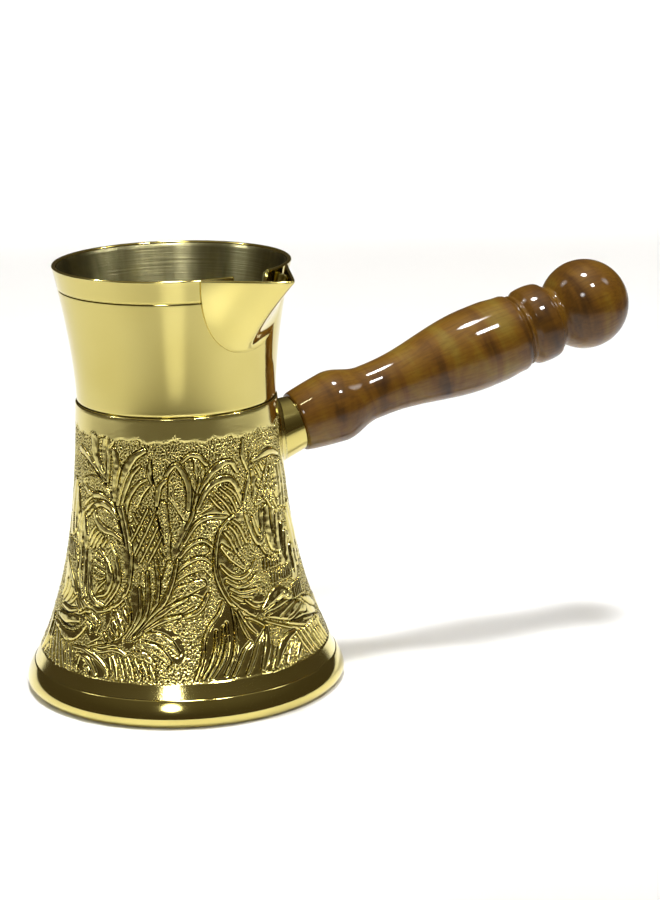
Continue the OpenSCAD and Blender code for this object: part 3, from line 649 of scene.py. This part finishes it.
# short bars: start in degrees, number, step in degrees, lower and upper height, lean in degrees, half-width
BARS = [
    (-65, 6, 2.1, 35.4, 38.2, 0.8, 0.34),
    (-61.5, 8, 2.1, 31.4, 34.4, 0.8, 0.34),
    (-47, 5, 2.0, 25.6, 29.2, 1.2, 0.32),
    (-53.5, 8, 3.1, 17.4, 11.6, 4.2, 0.45),
    (-186, 5, 2.6, 37.6, 41.4, -1.4, 0.4),
    (-39, 4, 2.6, 11.6, 15.4, -3.0, 0.4),
]

# narrow cuts: veins and shadows beside the leaves
CUTS = [
    (0.3, 0.55, 0.3, -177.4, 52, -177.6, 48, -177, 44.6),
    (0.3, 0.5, 0.3, -168.4, 45.4, -168, 42, -167.4, 39),
    (0.3, 0.6, 0.4, -152, 59, -158, 61.2, -165, 63.4, -173, 65.2),
    (0.3, 0.5, 0.3, -148, 57.4, -144.6, 53.4, -141.4, 48.8, -138.4, 44),
    (0.2, 0.5, 0.3, -143, 56, -142.4, 60.6, -140.4, 64.4),
    (0.25, 0.45, 0.25, -151.2, 62.4, -151.4, 64.6, -150.8, 67),
    (0.2, 0.4, 0.2, -122, 60.2, -123.4, 62.4, -123.6, 66),
    (0.2, 0.4, 0.2, -120.6, 58.6, -120.8, 54, -119.6, 49, -117.6, 45),
    (0.3, 0.6, 0.3, -55, 49.6, -55.3, 45, -55.2, 41.6),
    (0.3, 0.5, 0.3, -47, 45, -49, 40.6, -49.6, 37.6),
    (0.3, 0.5, 0.3, -40.4, 40.4, -42.4, 35.6, -42.6, 32.6),
    (0.3, 0.5, 0.3, -66.4, 41.8, -62, 38.8, -55, 37.2, -51.4, 39),
    (0.2, 0.35, 0.2, -66, 26.4, -60.4, 27.4, -55, 28.4),
    (0.2, 0.35, 0.2, -62, 26.2, -57, 26.8, -53, 27.2),
    (0.2, 0.4, 0.2, -62, 23, -53, 24.2, -46, 25),
    (0.2, 0.4, 0.2, -57, 21.8, -49.4, 22.6, -44, 23.6),
    (0.2, 0.35, 0.2, -46, 19.6, -38, 18.6, -32, 18.6),
    (0.2, 0.35, 0.2, -66, 14, -61, 16.2),
    (0.2, 0.35, 0.2, -62.4, 13, -57, 15.8),
    (0.2, 0.35, 0.2, -171.4, 40, -170.4, 35, -167.4, 31.4),
    (0.2, 0.35, 0.2, -183, 23.6, -176, 23.4, -169, 24),
    (0.2, 0.35, 0.2, -181, 21.2, -173, 20.6, -166.4, 21, -163.4, 22),
    (0.3, 0.7, 0.3, -187.6, 19, -187, 15, -190, 11.6),
]


def curve(pairs, steps=6):
    """A smooth line through the listed points, as Catmull-Rom pieces."""
    p = np.array(pairs, float).reshape(-1, 2)
    p = np.vstack([2 * p[0] - p[1], p, 2 * p[-1] - p[-2]])
    t = np.arange(steps)[:, None] / steps
    parts = [b + (c - a) * t / 2 + (a - 2.5 * b + 2 * c - d / 2) * t ** 2
             + (1.5 * (b - c) + (d - a) / 2) * t ** 3 for a, b, c, d in zip(p, p[1:], p[2:], p[3:])]
    return np.concatenate(parts + [p[-2:-1]])


def near_stroke(degrees, z, stroke, reach):
    """The part of the grid near a stroke: its rows and columns, the distance to the stroke's centre line in
    millimetres, and the stroke's half-width at the nearest point of it."""
    line = curve(stroke[3:])
    middle = (line[:, 0].min() + line[:, 0].max()) / 2
    reach = reach + max(stroke[:3]) * WIDEN
    away = (degrees - middle + REPEAT / 2) % REPEAT - REPEAT / 2
    cols = np.flatnonzero(np.abs(away) < np.ptp(line[:, 0]) / 2 + reach / 0.45)
    rows = np.flatnonzero((z > line[:, 1].min() - reach) & (z < line[:, 1].max() + reach))
    k = np.radians(body_r(z[rows]))[:, None]
    x, y = (middle + away[cols])[None, :] * k, np.broadcast_to(z[rows][:, None], (len(rows), len(cols)))
    best, share = np.full(x.shape, 1e9), np.zeros(x.shape)
    lengths = np.linalg.norm(np.diff(line, axis=0) * [0.6, 1], axis=1)
    run = np.concatenate([[0], np.cumsum(lengths)]) / lengths.sum()
    for i, (a, b) in enumerate(zip(line, line[1:])):
        ax, dx, dz = a[0] * k, (b[0] - a[0]) * k, b[1] - a[1]
        t = np.clip(((x - ax) * dx + (y - a[1]) * dz) / (dx * dx + dz * dz), 0, 1)
        d = (x - ax - t * dx) ** 2 + (y - a[1] - t * dz) ** 2
        closer = d < best
        best = np.where(closer, d, best)
        share = np.where(closer, run[i] + t * (run[i + 1] - run[i]), share)
    w = np.interp(share, [0, 0.5, 1], stroke[:3]) * WIDEN
    return np.ix_(rows, cols), np.sqrt(best), w


def soft_noise(rng, shape, periods, low, high):
    """Random waves that repeat round the pot, between two wavelengths, scaled to a spread of one."""
    wide, tall = periods
    fx = np.fft.fftfreq(shape[1])[None, :] * shape[1] / wide
    fz = np.fft.fftfreq(shape[0])[:, None] * shape[0] / tall
    f = np.hypot(fx, fz)
    band = np.exp(-(np.log(np.maximum(f, 1e-6) * np.sqrt(low * high)) / np.log(high / low)) ** 2 * 2)
    n = np.fft.ifft2(np.fft.fft2(rng.normal(size=shape)) * band).real
    return n / n.std()


def relief(degrees, z):
    """Height of the chased face over the plain bell in millimetres, how far each point is polished, and how
    far it is a hollow darkened with painted shade. Each stroke is a rounded crest that falls to a ditch beside
    it. The ground between strokes is sunk 0.2 mm and punched with dots 0.3 mm deep."""
    rng = np.random.default_rng(11)
    shape = (len(z), len(degrees))
    h = np.full(shape, -0.20)
    polish = np.zeros(shape)
    for stroke in FLATS:
        at, d, w = near_stroke(degrees, z, stroke, 0.6)
        m = 1 - smooth(-0.35, 0.35, d - w)
        h[at] += (-0.16 - h[at]) * m
        polish[at] = np.maximum(polish[at], m)
    bars = [(w, w, w * 0.8, a + i * step, low, a + i * step + lean, high)
            for a, n, step, low, high, lean, w in BARS for i in range(n)]
    for stroke, dotted in [(s, True) for s in LEAVES] + [(s, False) for s in RIBS + bars]:
        at, d, w = near_stroke(degrees, z, stroke, 0.7)
        e = d - w
        crest = 0.06 + 0.10 * np.minimum(w, 1.3)
        across = np.clip(d / w, 0, 1) ** (2.4 + 2.4 * np.minimum(w, 1.5))
        face = crest - (crest + 0.26) * across
        inner = smooth(0.35, 0.75, -e) if dotted else 0.0 * e
        face = face - 0.16 * inner
        ditch = -0.52 + 0.34 * smooth(0, 0.45, e)
        inside = 1 - smooth(-0.06, 0.06, e)
        h[at] = np.where(e < 0.6, np.minimum(h[at], ditch), h[at]) * (1 - inside) + face * inside
        polish[at] = polish[at] * (1 - inside) + (1 - inner) * inside
    for stroke in CUTS:
        at, d, w = near_stroke(degrees, z, stroke, 0.3)
        m = 1 - smooth(0.2, 1.05, d / w)
        h[at] -= 0.34 * m
        polish[at] = np.maximum(polish[at], m)
    periods = np.radians(REPEAT) * 32, z[-1] - z[0]
    lumps = soft_noise(rng, shape, periods, 0.65, 1.2)
    dots = smooth(0.05, 0.95, lumps)
    tooling = soft_noise(rng, shape, periods, 0.35, 0.6)
    sway = soft_noise(rng, shape, periods, 2.0, 5.0)
    h += (0.07 - 0.30 * dots + 0.02 * tooling) * (1 - polish) + 0.004 * tooling * polish + 0.02 * sway
    wave = np.radians(degrees)
    edge = np.broadcast_to(np.sin(wave * 14) * 0.35 + np.sin(wave * 34 + np.radians(50)) * 0.3, shape)
    zz = z[:, None]
    field = smooth(FIELD_LOW - 0.15, FIELD_LOW + 0.3, zz + 0.15 * edge)
    field = field * (1 - smooth(FIELD_TOP - 0.25, FIELD_TOP + 0.25, zz + edge + 0.25 * lumps))
    # painted shade: hollow marks the sunk places and the punched dots, whose colour the material darkens
    hollow = np.maximum(smooth(0.22, 0.46, -h), dots * (1 - polish))
    polish = np.maximum(polish, 0.6 * (1 - dots))
    return h * field, 1 - (1 - polish) * field, hollow * field


def build_body():
    """Eight matching wall pieces of 45 degrees: the chased outer face on a fine grid, with a plain inner
    face. The top edge rounds in as a quarter circle. The shading normals come from the whole face, so the
    seams between the pieces do not show."""
    across, fine, sectors = ((204, 404, 8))
    round_z = SHOULDER_Z - EDGE * (1 - np.sin(np.radians(np.linspace(0, 84, 8))))
    low_end, high_end = 10.2, 72.6  # rows are fine between these heights and coarse beyond them
    z = np.concatenate([np.linspace(FOOT_Z, low_end, 9)[:-1], np.linspace(low_end, high_end, fine),
                        np.linspace(high_end, SHOULDER_Z - EDGE, 6)[1:-1], round_z])
    z[-1] = SHOULDER_Z
    count = across * sectors
    degrees = -200 + np.arange(count) * 360 / count
    h, polish, hollow = (np.tile(half, 2) for half in relief(degrees[:count // 2], z))
    turn = (degrees + 180) % 360 - 180
    from_socket = np.hypot(np.radians(turn)[None, :] * body_r(z)[:, None], z[:, None] - PAD_Z)
    pad = 1 - smooth(PAD_REACH - 0.3, PAD_REACH + 0.3, from_socket)
    h, polish, hollow = h * (1 - pad), np.maximum(polish, pad), hollow * (1 - pad)
    t = np.radians(degrees)[None, :]
    over = np.clip((z - SHOULDER_Z + EDGE) / EDGE, 0, 0.995)
    r = body_r(z)[:, None] + h - EDGE * (1 - np.sqrt(1 - over ** 2))[:, None]
    face = np.stack([r * np.cos(t), r * np.sin(t), z[:, None] + 0 * r], -1)
    rt = (np.roll(r, -1, 1) - np.roll(r, 1, 1)) / (2 * np.radians(360 / count))
    rz = np.gradient(r, z, axis=0)
    normal = np.stack([r * np.cos(t) + rt * np.sin(t), r * np.sin(t) - rt * np.cos(t), -r * rz], -1)
    normal /= np.linalg.norm(normal, axis=-1, keepdims=True)
    rows, rows_in = len(z), 14
    zi = np.linspace(FOOT_Z, SHOULDER_Z, rows_in)
    for k in range(sectors):
        cols = np.arange(k * across, (k + 1) * across + 1) % count
        n = len(cols)
        outer = face[:, cols].transpose(1, 0, 2)
        ti = np.radians(degrees[cols])[:, None]
        ri = (body_r(zi) - BODY_WALL)[None, :]
        inner = np.stack([ri * np.cos(ti), ri * np.sin(ti), zi[None, :] + 0 * ti], -1)
        base = n * rows
        front = grid_quads(n, rows)
        rear = grid_quads(n, rows_in)[:, ::-1] + base
        i = np.arange(n - 1) * rows
        k_in = base + np.arange(n - 1) * rows_in
        low = np.stack([i + rows, k_in + rows_in, k_in, i], 1)
        high = np.stack([k_in + rows_in - 1, k_in + 2 * rows_in - 1, i + 2 * rows - 1, i + rows - 1], 1)
        match = np.round(np.arange(rows) * (rows_in - 1) / (rows - 1)).astype(int)
        j = np.arange(rows - 1)
        step = np.flatnonzero(np.diff(match))
        ends = []
        for column, flip in ((0, False), (n - 1, True)):
            o, m = column * rows, base + column * rows_in
            a = np.stack([o + j, o + j + 1, m + match[j], m + match[j]], 1)
            b = np.stack([o + step + 1, m + match[step + 1], m + match[step], m + match[step]], 1)
            both = np.concatenate([a, b])
            ends.append(both[:, [1, 0, 2, 3]] if flip else both)
        quads = np.concatenate([front, rear, low, high] + ends)
        points = np.concatenate([outer.reshape(-1, 3), inner.reshape(-1, 3)])
        back = -np.stack([np.cos(ti) + 0 * ri, np.sin(ti) + 0 * ri, 0 * (ti + ri)], -1).reshape(-1, 3)
        normals = np.concatenate([normal[:, cols].transpose(1, 0, 2).reshape(-1, 3), back])
        extra = len(inner.reshape(-1, 3))
        make_mesh(f"chased_wall_{k + 1}", points, quads, CHASED, ["engraved_body"],
                  # hollow carries the painted shade of the recesses into the material
                  {"hollow": np.concatenate([hollow[:, cols].T.ravel(), np.zeros(extra)]),
                   "polish": np.concatenate([polish[:, cols].T.ravel(), np.ones(extra)])}, normals)


# ---------------------------------------------------------------- the pouring lip

def lip_edge(z):
    """Half of the lip's width, as an angle: a rounded shield that closes at its lowest point."""
    drop = np.clip((RIM_Z - z) / LIP_DROP, 0, 1)
    return LIP_HALF * np.maximum(1 - drop ** LIP_POWER, 1e-6) ** (1 / LIP_POWER)


def lip_r(a, z, inset=0.0):
    """Radius of the lip at angle a: a straight wall from the neck to a keel, which flares as height to the
    power 1.2 and is rounded."""
    edge = lip_edge(z)
    a = np.minimum(np.abs(a), edge)
    low = RIM_Z - LIP_DROP
    foot = neck_r(low) + LIP_T
    base = neck_r(z) + 0.05 + LIP_T - inset
    rise = np.clip((z - low) / LIP_DROP, 0, 1) ** KEEL_POWER
    keel = np.maximum(base + 0.01, foot + (LIP_TIP_R - foot) * rise - 1.5 * inset)
    soft = np.radians(1.6)
    t = edge * (np.hypot(a, soft) - soft) / (np.hypot(edge, soft) - soft)
    side = base * np.sin(edge)
    return keel * side / (side * np.cos(t) + (keel - base * np.cos(edge)) * np.sin(t))


def shield(q, w):
    """Angle and height on the lip for a share q of the way from its tip to its edge, in direction w."""
    x = np.sign(np.cos(w)) * np.abs(np.cos(w)) ** (2 / LIP_POWER)
    y = np.sin(w) ** (2 / LIP_POWER)
    return LIP_HALF * q * x, RIM_Z - LIP_DROP * q * y


def build_lip():
    """Sheet on a fan of points from the tip to the shield's edge; its thickness rounds off at every edge."""
    n, m = 150, 90
    w = np.pi * (0.5 - 0.5 * np.cos(np.pi * np.linspace(0, 1, n)))[:, None]
    q = np.sin(np.pi / 2 * np.linspace(0.004, 1, m))[None, :]
    a, z = shield(q, w)
    r = lip_r(a, z, LIP_T / 2)
    lift = LIP_LIFT * (1 - np.abs(a) / LIP_HALF) * (1 - (RIM_Z - z) / LIP_DROP) ** 2
    mid = np.stack([r * np.cos(a + LIP_TURN), r * np.sin(a + LIP_TURN), z + lift], -1)
    du = np.gradient(mid, axis=0)
    dv = np.gradient(mid, axis=1)
    normal = np.cross(dv, du)
    normal /= np.linalg.norm(normal, axis=-1, keepdims=True) + 1e-12
    normal *= np.sign((normal * mid * [1, 1, 0]).sum(-1, keepdims=True).mean())
    to_edge = np.minimum((1 - q) * np.linalg.norm(mid[:, -1:] - mid[:, :1], axis=-1), RIM_Z - z)
    half = LIP_T / 2 * np.sqrt(np.clip(1 - (1 - np.clip(to_edge / 0.4, 0, 1)) ** 2, 1e-6, 1))[..., None]
    outer, inner = mid + normal * half, mid - normal * half
    points = np.concatenate([outer.reshape(-1, 3), inner.reshape(-1, 3)])
    make_mesh("pouring_lip", points, sheet_quads(n, m), BRASS, ["spout_lip"])


def build_lip_solder():
    """Lumpy run of solder in the wedge between the lip's inner face and the neck."""
    n, m = 220, 12
    w = np.radians(np.linspace(4, 176, n))[:, None]
    q = np.linspace(0.80, 0.985, m)[None, :]
    a, z = shield(q, w)
    z = z - 0.25
    rng = np.random.default_rng(5)
    lumps = np.interp(np.linspace(0, 60, n), np.arange(61), rng.normal(0, 0.10, 61))[:, None]
    top = np.maximum(lip_r(a, z, LIP_T) - 0.03, neck_r(z) + 0.06)
    low = neck_r(z) + 0.02
    fill = smooth(0.80, 0.87, q + lumps * 0.15)
    top = low + 0.04 + (top - low - 0.04) * fill
    sides = [np.stack([r * np.cos(a + LIP_TURN), r * np.sin(a + LIP_TURN), z], -1) for r in (top, low)]
    points = np.concatenate([s.reshape(-1, 3) for s in sides])
    make_mesh("lip_solder_run", points, sheet_quads(n, m), SOLDER, ["spout_solder"])


# ---------------------------------------------------------------- the handle

HANDLE = np.eye(4)
HANDLE[:3, :3] = np.array(Matrix.Rotation(np.pi / 2 - HANDLE_RISE, 3, "Y"))
HANDLE[:3, 3] = (0, 0, HANDLE_Z)


def on_handle(r, angle, s):
    """Points at radius r, angle and distance s about the handle's axis."""
    local = np.stack([r * np.cos(angle), r * np.sin(angle), s + 0 * r], -1)
    return local @ HANDLE[:3, :3].T + HANDLE[:3, 3]


def meets_body(r, angle, grow):
    """Distance along the handle at which a line parallel to its axis comes out of the body, by halving."""
    lo, hi = np.full_like(angle, 15.0), np.full_like(angle, 34.0)
    for _ in range(40):
        mid = (lo + hi) / 2
        p = on_handle(r, angle, mid)
        inside = np.hypot(p[..., 0], p[..., 1]) < body_r(p[..., 2]) + grow
        lo, hi = np.where(inside, mid, lo), np.where(inside, hi, mid)
    return (lo + hi) / 2


def socket_at(s):
    """Outside radius of the tapered socket at distance s along the handle's axis."""
    return SOCKET_R + SOCKET_FLARE * (WOOD_START - s) / (WOOD_START - SOCKET_FROM)


def build_socket():
    """Tapered tube from the body's curved face to the wood, with a small round at its outer end."""
    count = 180
    angles = np.arange(count) * 2 * np.pi / count
    column = np.ones((count, 1))
    start = meets_body(socket_at(SADDLE_AT) + 0 * angles, angles, 0.05)
    start_in = meets_body(socket_at(SADDLE_AT) - SOCKET_WALL + 0 * angles, angles, 0.05)
    share = np.linspace(0, 1, 24)
    s_out = start[:, None] + (WOOD_START - 0.25 - start[:, None]) * share
    s_in = WOOD_START + (start_in[:, None] - WOOD_START) * np.linspace(0, 1, 10)
    s = np.concatenate([s_out, column * (WOOD_START - 0.06), column * WOOD_START, s_in], 1)
    r = np.concatenate([socket_at(s_out), column * (SOCKET_R - 0.06), column * (SOCKET_R - 0.28),
                        socket_at(s_in) - SOCKET_WALL], 1)
    points = on_handle(r, angles[:, None] + 0 * r, s)
    quads = grid_quads(count, s.shape[1], wrap_n=True, wrap_m=True)
    make_mesh("handle_ferrule", points.reshape(-1, 3), quads, BRASS, ["handle_socket"])


def build_socket_solder():
    """Concave fillet from the body's face up onto the socket, all the way round."""
    count, steps, reach = 180, 14, 1.5
    angles = np.arange(count) * 2 * np.pi / count
    t = np.linspace(0, 1, steps)[None, :]
    r0 = socket_at(SADDLE_AT)
    radius = r0 + reach * (1 - t) + 0 * angles[:, None]
    ang = angles[:, None] + 0 * radius
    base = meets_body(radius, ang, 0.03)
    rise = reach * (1 - np.sqrt(np.clip(1 - t ** 2, 0, 1)))
    s = base + rise
    r = np.where(t < 1, radius, socket_at(s))
    outer = on_handle(r, ang, s)
    inner = on_handle(radius - 0.3, ang, meets_body(radius - 0.3, ang, -0.2))
    points = np.concatenate([outer, inner[:, ::-1]], 1)
    quads = grid_quads(count, 2 * steps, wrap_n=True, wrap_m=True)
    make_mesh("socket_fillet", points.reshape(-1, 3), quads, BRASS, ["socket_solder"])


def swell(a, ra, b, rb, n):
    """An S-shaped stretch of the turned outline, by half a cosine wave."""
    t = np.linspace(0, 1, n)
    return np.stack([ra + (rb - ra) * (1 - np.cos(np.pi * t)) / 2, a + (b - a) * t], 1)


def build_wood():
    """The turned outline: tenon, collar, waist, grip, two cut lines, ring, cove and ball."""
    ball_s, ball_r, cove_s = 89.8, 12.4, 79.6
    from_angle = -np.arcsin((ball_s - cove_s - 0.9) / ball_r)
    b = np.linspace(from_angle, np.pi / 2, 60)
    ball = np.stack([ball_r * np.cos(b), ball_s + ball_r * np.sin(b)], 1)
    ring_t = np.linspace(0.12, 0.9, 26) * np.pi
    ring = np.stack([10.0 + 0.85 * np.sin(ring_t) ** 0.8, 74.1 - 3.5 * np.cos(ring_t)], 1)
    outline = np.concatenate([
        [[0, -3], [6.1, -3], [6.2, -0.05], [7.7, -0.05], [8.0, 0.05], [8.15, 0.35]],
        np.stack([8.15 + 1.6 * np.linspace(0.05, 1, 14) ** 0.8, np.linspace(1.0, 10.6, 14)], 1),
        [[9.8, 11.1]], swell(11.6, 9.8, 21.5, 7.52, 30), swell(24.0, 7.52, 55.5, 11.4, 50),
        swell(59.5, 11.4, 66.4, 10.85, 12),
        [[10.6, 67.2], [10.1, 67.8], [9.5, 68.1], [9.35, 68.3], [9.5, 68.5], [9.85, 68.7], [9.95, 69.0],
         [9.85, 69.3], [9.5, 69.55], [9.4, 69.8], [9.6, 70.1]],
        ring[2:], [[9.75, 77.9], [9.4, 78.0], [9.3, 78.2], [9.3, 78.6], [8.9, 79.0], [8.3, 79.4]],
        ball[:-1], [[0, ball_s + ball_r]]])
    place = HANDLE.copy()
    place[:3, 3] += HANDLE[:3, 2] * WOOD_START
    turned("turned_handle", outline, 300, WOOD, ["wood_handle"], place)


# ---------------------------------------------------------------- camera, floor and light

def build_stage():
    """A wide pale floor under overhead soft boxes whose light stops short of the camera, so the near room
    stays dim and brown in the metal. A window-like box lights the foot, a small lamp high on the right lights
    the wood, a strip brightens the floor before the pot, and small lamps at the sides light the mouth."""
    size = 12.0  # half of the floor's width, in metres
    mesh = bpy.data.meshes.new("floor")
    corners = [(x * size, y * size, 0) for x, y in ((-1, -1), (1, -1), (1, 1), (-1, 1))]
    mesh.from_pydata(corners, [], [(0, 1, 2, 3)])
    floor = bpy.data.objects.new("floor", mesh)
    bpy.context.scene.collection.objects.link(floor)
    paper, _, p = new_material("white_paper", Roughness=0.9, Specular_IOR_Level=0.2)
    p.inputs["Base Color"].default_value = colour("#f5f5f5")
    mesh.materials.append(paper)

    world = bpy.data.worlds.new("dim_room")
    bpy.context.scene.world = world
    world.use_nodes = True
    tree = world.node_tree
    tree.nodes.clear()
    direction = add(tree, "ShaderNodeTexCoord").outputs["Generated"]
    up = add(tree, "ShaderNodeSeparateXYZ", Vector=direction).outputs["Z"]
    sky = ramp(tree, up, (0.0, colour("#4a4130")), (0.35, colour("#4e4636")), (0.7, colour("#665f50")),
               (1.0, colour("#a8a294")))
    back = add(tree, "ShaderNodeBackground", Color=sky, Strength=1.0)
    out = add(tree, "ShaderNodeOutputWorld")
    tree.links.new(back.outputs[0], out.inputs[0])

    turn = Matrix.Rotation(VIEW_TURN, 4, "Z")

    def lamp(name, at, aim, width, height, power, spread):
        """A rectangular soft box of some watts. Its place and the point it faces are in metres, x to the
        right and y away; its light spreads by spread degrees."""
        data = bpy.data.lights.new(name, "AREA")
        data.shape, data.size, data.size_y, data.energy = "RECTANGLE", width, height, power
        data.spread = np.radians(spread)
        box = bpy.data.objects.new(name, data)
        facing = Vector(at) - Vector(aim)
        level = Matrix.Identity(4)
        if facing.xy.length > 1e-6:
            level = facing.to_track_quat("Z", "Y").to_matrix().to_4x4()
        box.matrix_world = turn @ Matrix.Translation(at) @ level
        bpy.context.scene.collection.objects.link(box)

    lamp("near_box", (0, 0.41, 1.3), (0, 0.41, 0), 0.84, 1.26, 2.7, spread=13)
    lamp("back_box", (0, 0.7, 1.3), (0, 0.7, 0), 0.84, 0.75, 0.17, spread=13)
    lamp("far_box", (0, 2.42, 1.3), (0, 2.42, 0), 2.0, 3.2, 23.5, spread=18)
    lamp("left_beam", (-0.95, 0.2, 1.0), (0, 0.2, 0), 0.6, 0.7, 0.12, spread=20)
    lamp("right_beam", (0.95, 0.2, 1.0), (0, 0.2, 0), 0.6, 0.7, 0.12, spread=20)
    lamp("window_box", (-0.2, -1.2, 0.85), (0, 0.02, 0.03), 0.56, 0.42, 0.11, spread=14)
    lamp("high_lamp", (0.52, -0.63, 1.24), (0.06, 0.02, 0.08), 0.2, 0.2, 0.12, spread=18)
    lamp("floor_strip", (0.012, -0.17, 0.45), (0.012, -0.17, 0), 0.06, 0.14, 0.021, spread=8)
    for side in (-1, 1):
        name = f"mouth_lamp_{(side + 3) // 2}"
        lamp(name, (0.8 * side, 0.05, 0.9), (0, 0, 0.11), 0.08, 0.08, 0.004, spread=4)


def build_camera():
    """Stands 0.66 m from the pot, 14 degrees above level, turned 18 degrees from the handle's side view."""
    tilt, roll = np.radians(14.35), np.radians(1.25)
    right = np.array([1.0, 0, 0])
    up = np.array([0, np.sin(tilt), np.cos(tilt)])
    back = np.array([0, -np.cos(tilt), np.sin(tilt)])
    tilted = [right * np.cos(roll) - up * np.sin(roll), right * np.sin(roll) + up * np.cos(roll), back]
    turn = np.array(Matrix.Rotation(VIEW_TURN, 3, "Z"))
    place = np.eye(4)
    place[:3, :3] = turn @ np.array(tilted).T
    place[:3, 3] = turn @ np.array([39.8, -626.6, 221.8]) * MM
    data = bpy.data.cameras.new("camera")
    data.sensor_width = 36.0
    data.lens = 98.4
    data.clip_start, data.clip_end = 0.05, 50
    camera = bpy.data.objects.new("camera", data)
    camera.matrix_world = Matrix(place.tolist())
    bpy.context.scene.collection.objects.link(camera)
    bpy.context.scene.camera = camera


build_neck()
build_body()
build_base()
build_tin()
build_lip()
build_lip_solder()
build_socket()
build_socket_solder()
build_wood()
build_stage()
build_camera()
for node, material in (("shoulder_solder", SOLDER), ("foot_solder", SOLDER),
                       ("socket_plug", BRASS), ("handle_stud", STEEL)):
    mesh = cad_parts[node].data
    mesh.materials.clear()
    mesh.materials.append(material)

bpy.context.scene.view_settings.view_transform = "Standard"
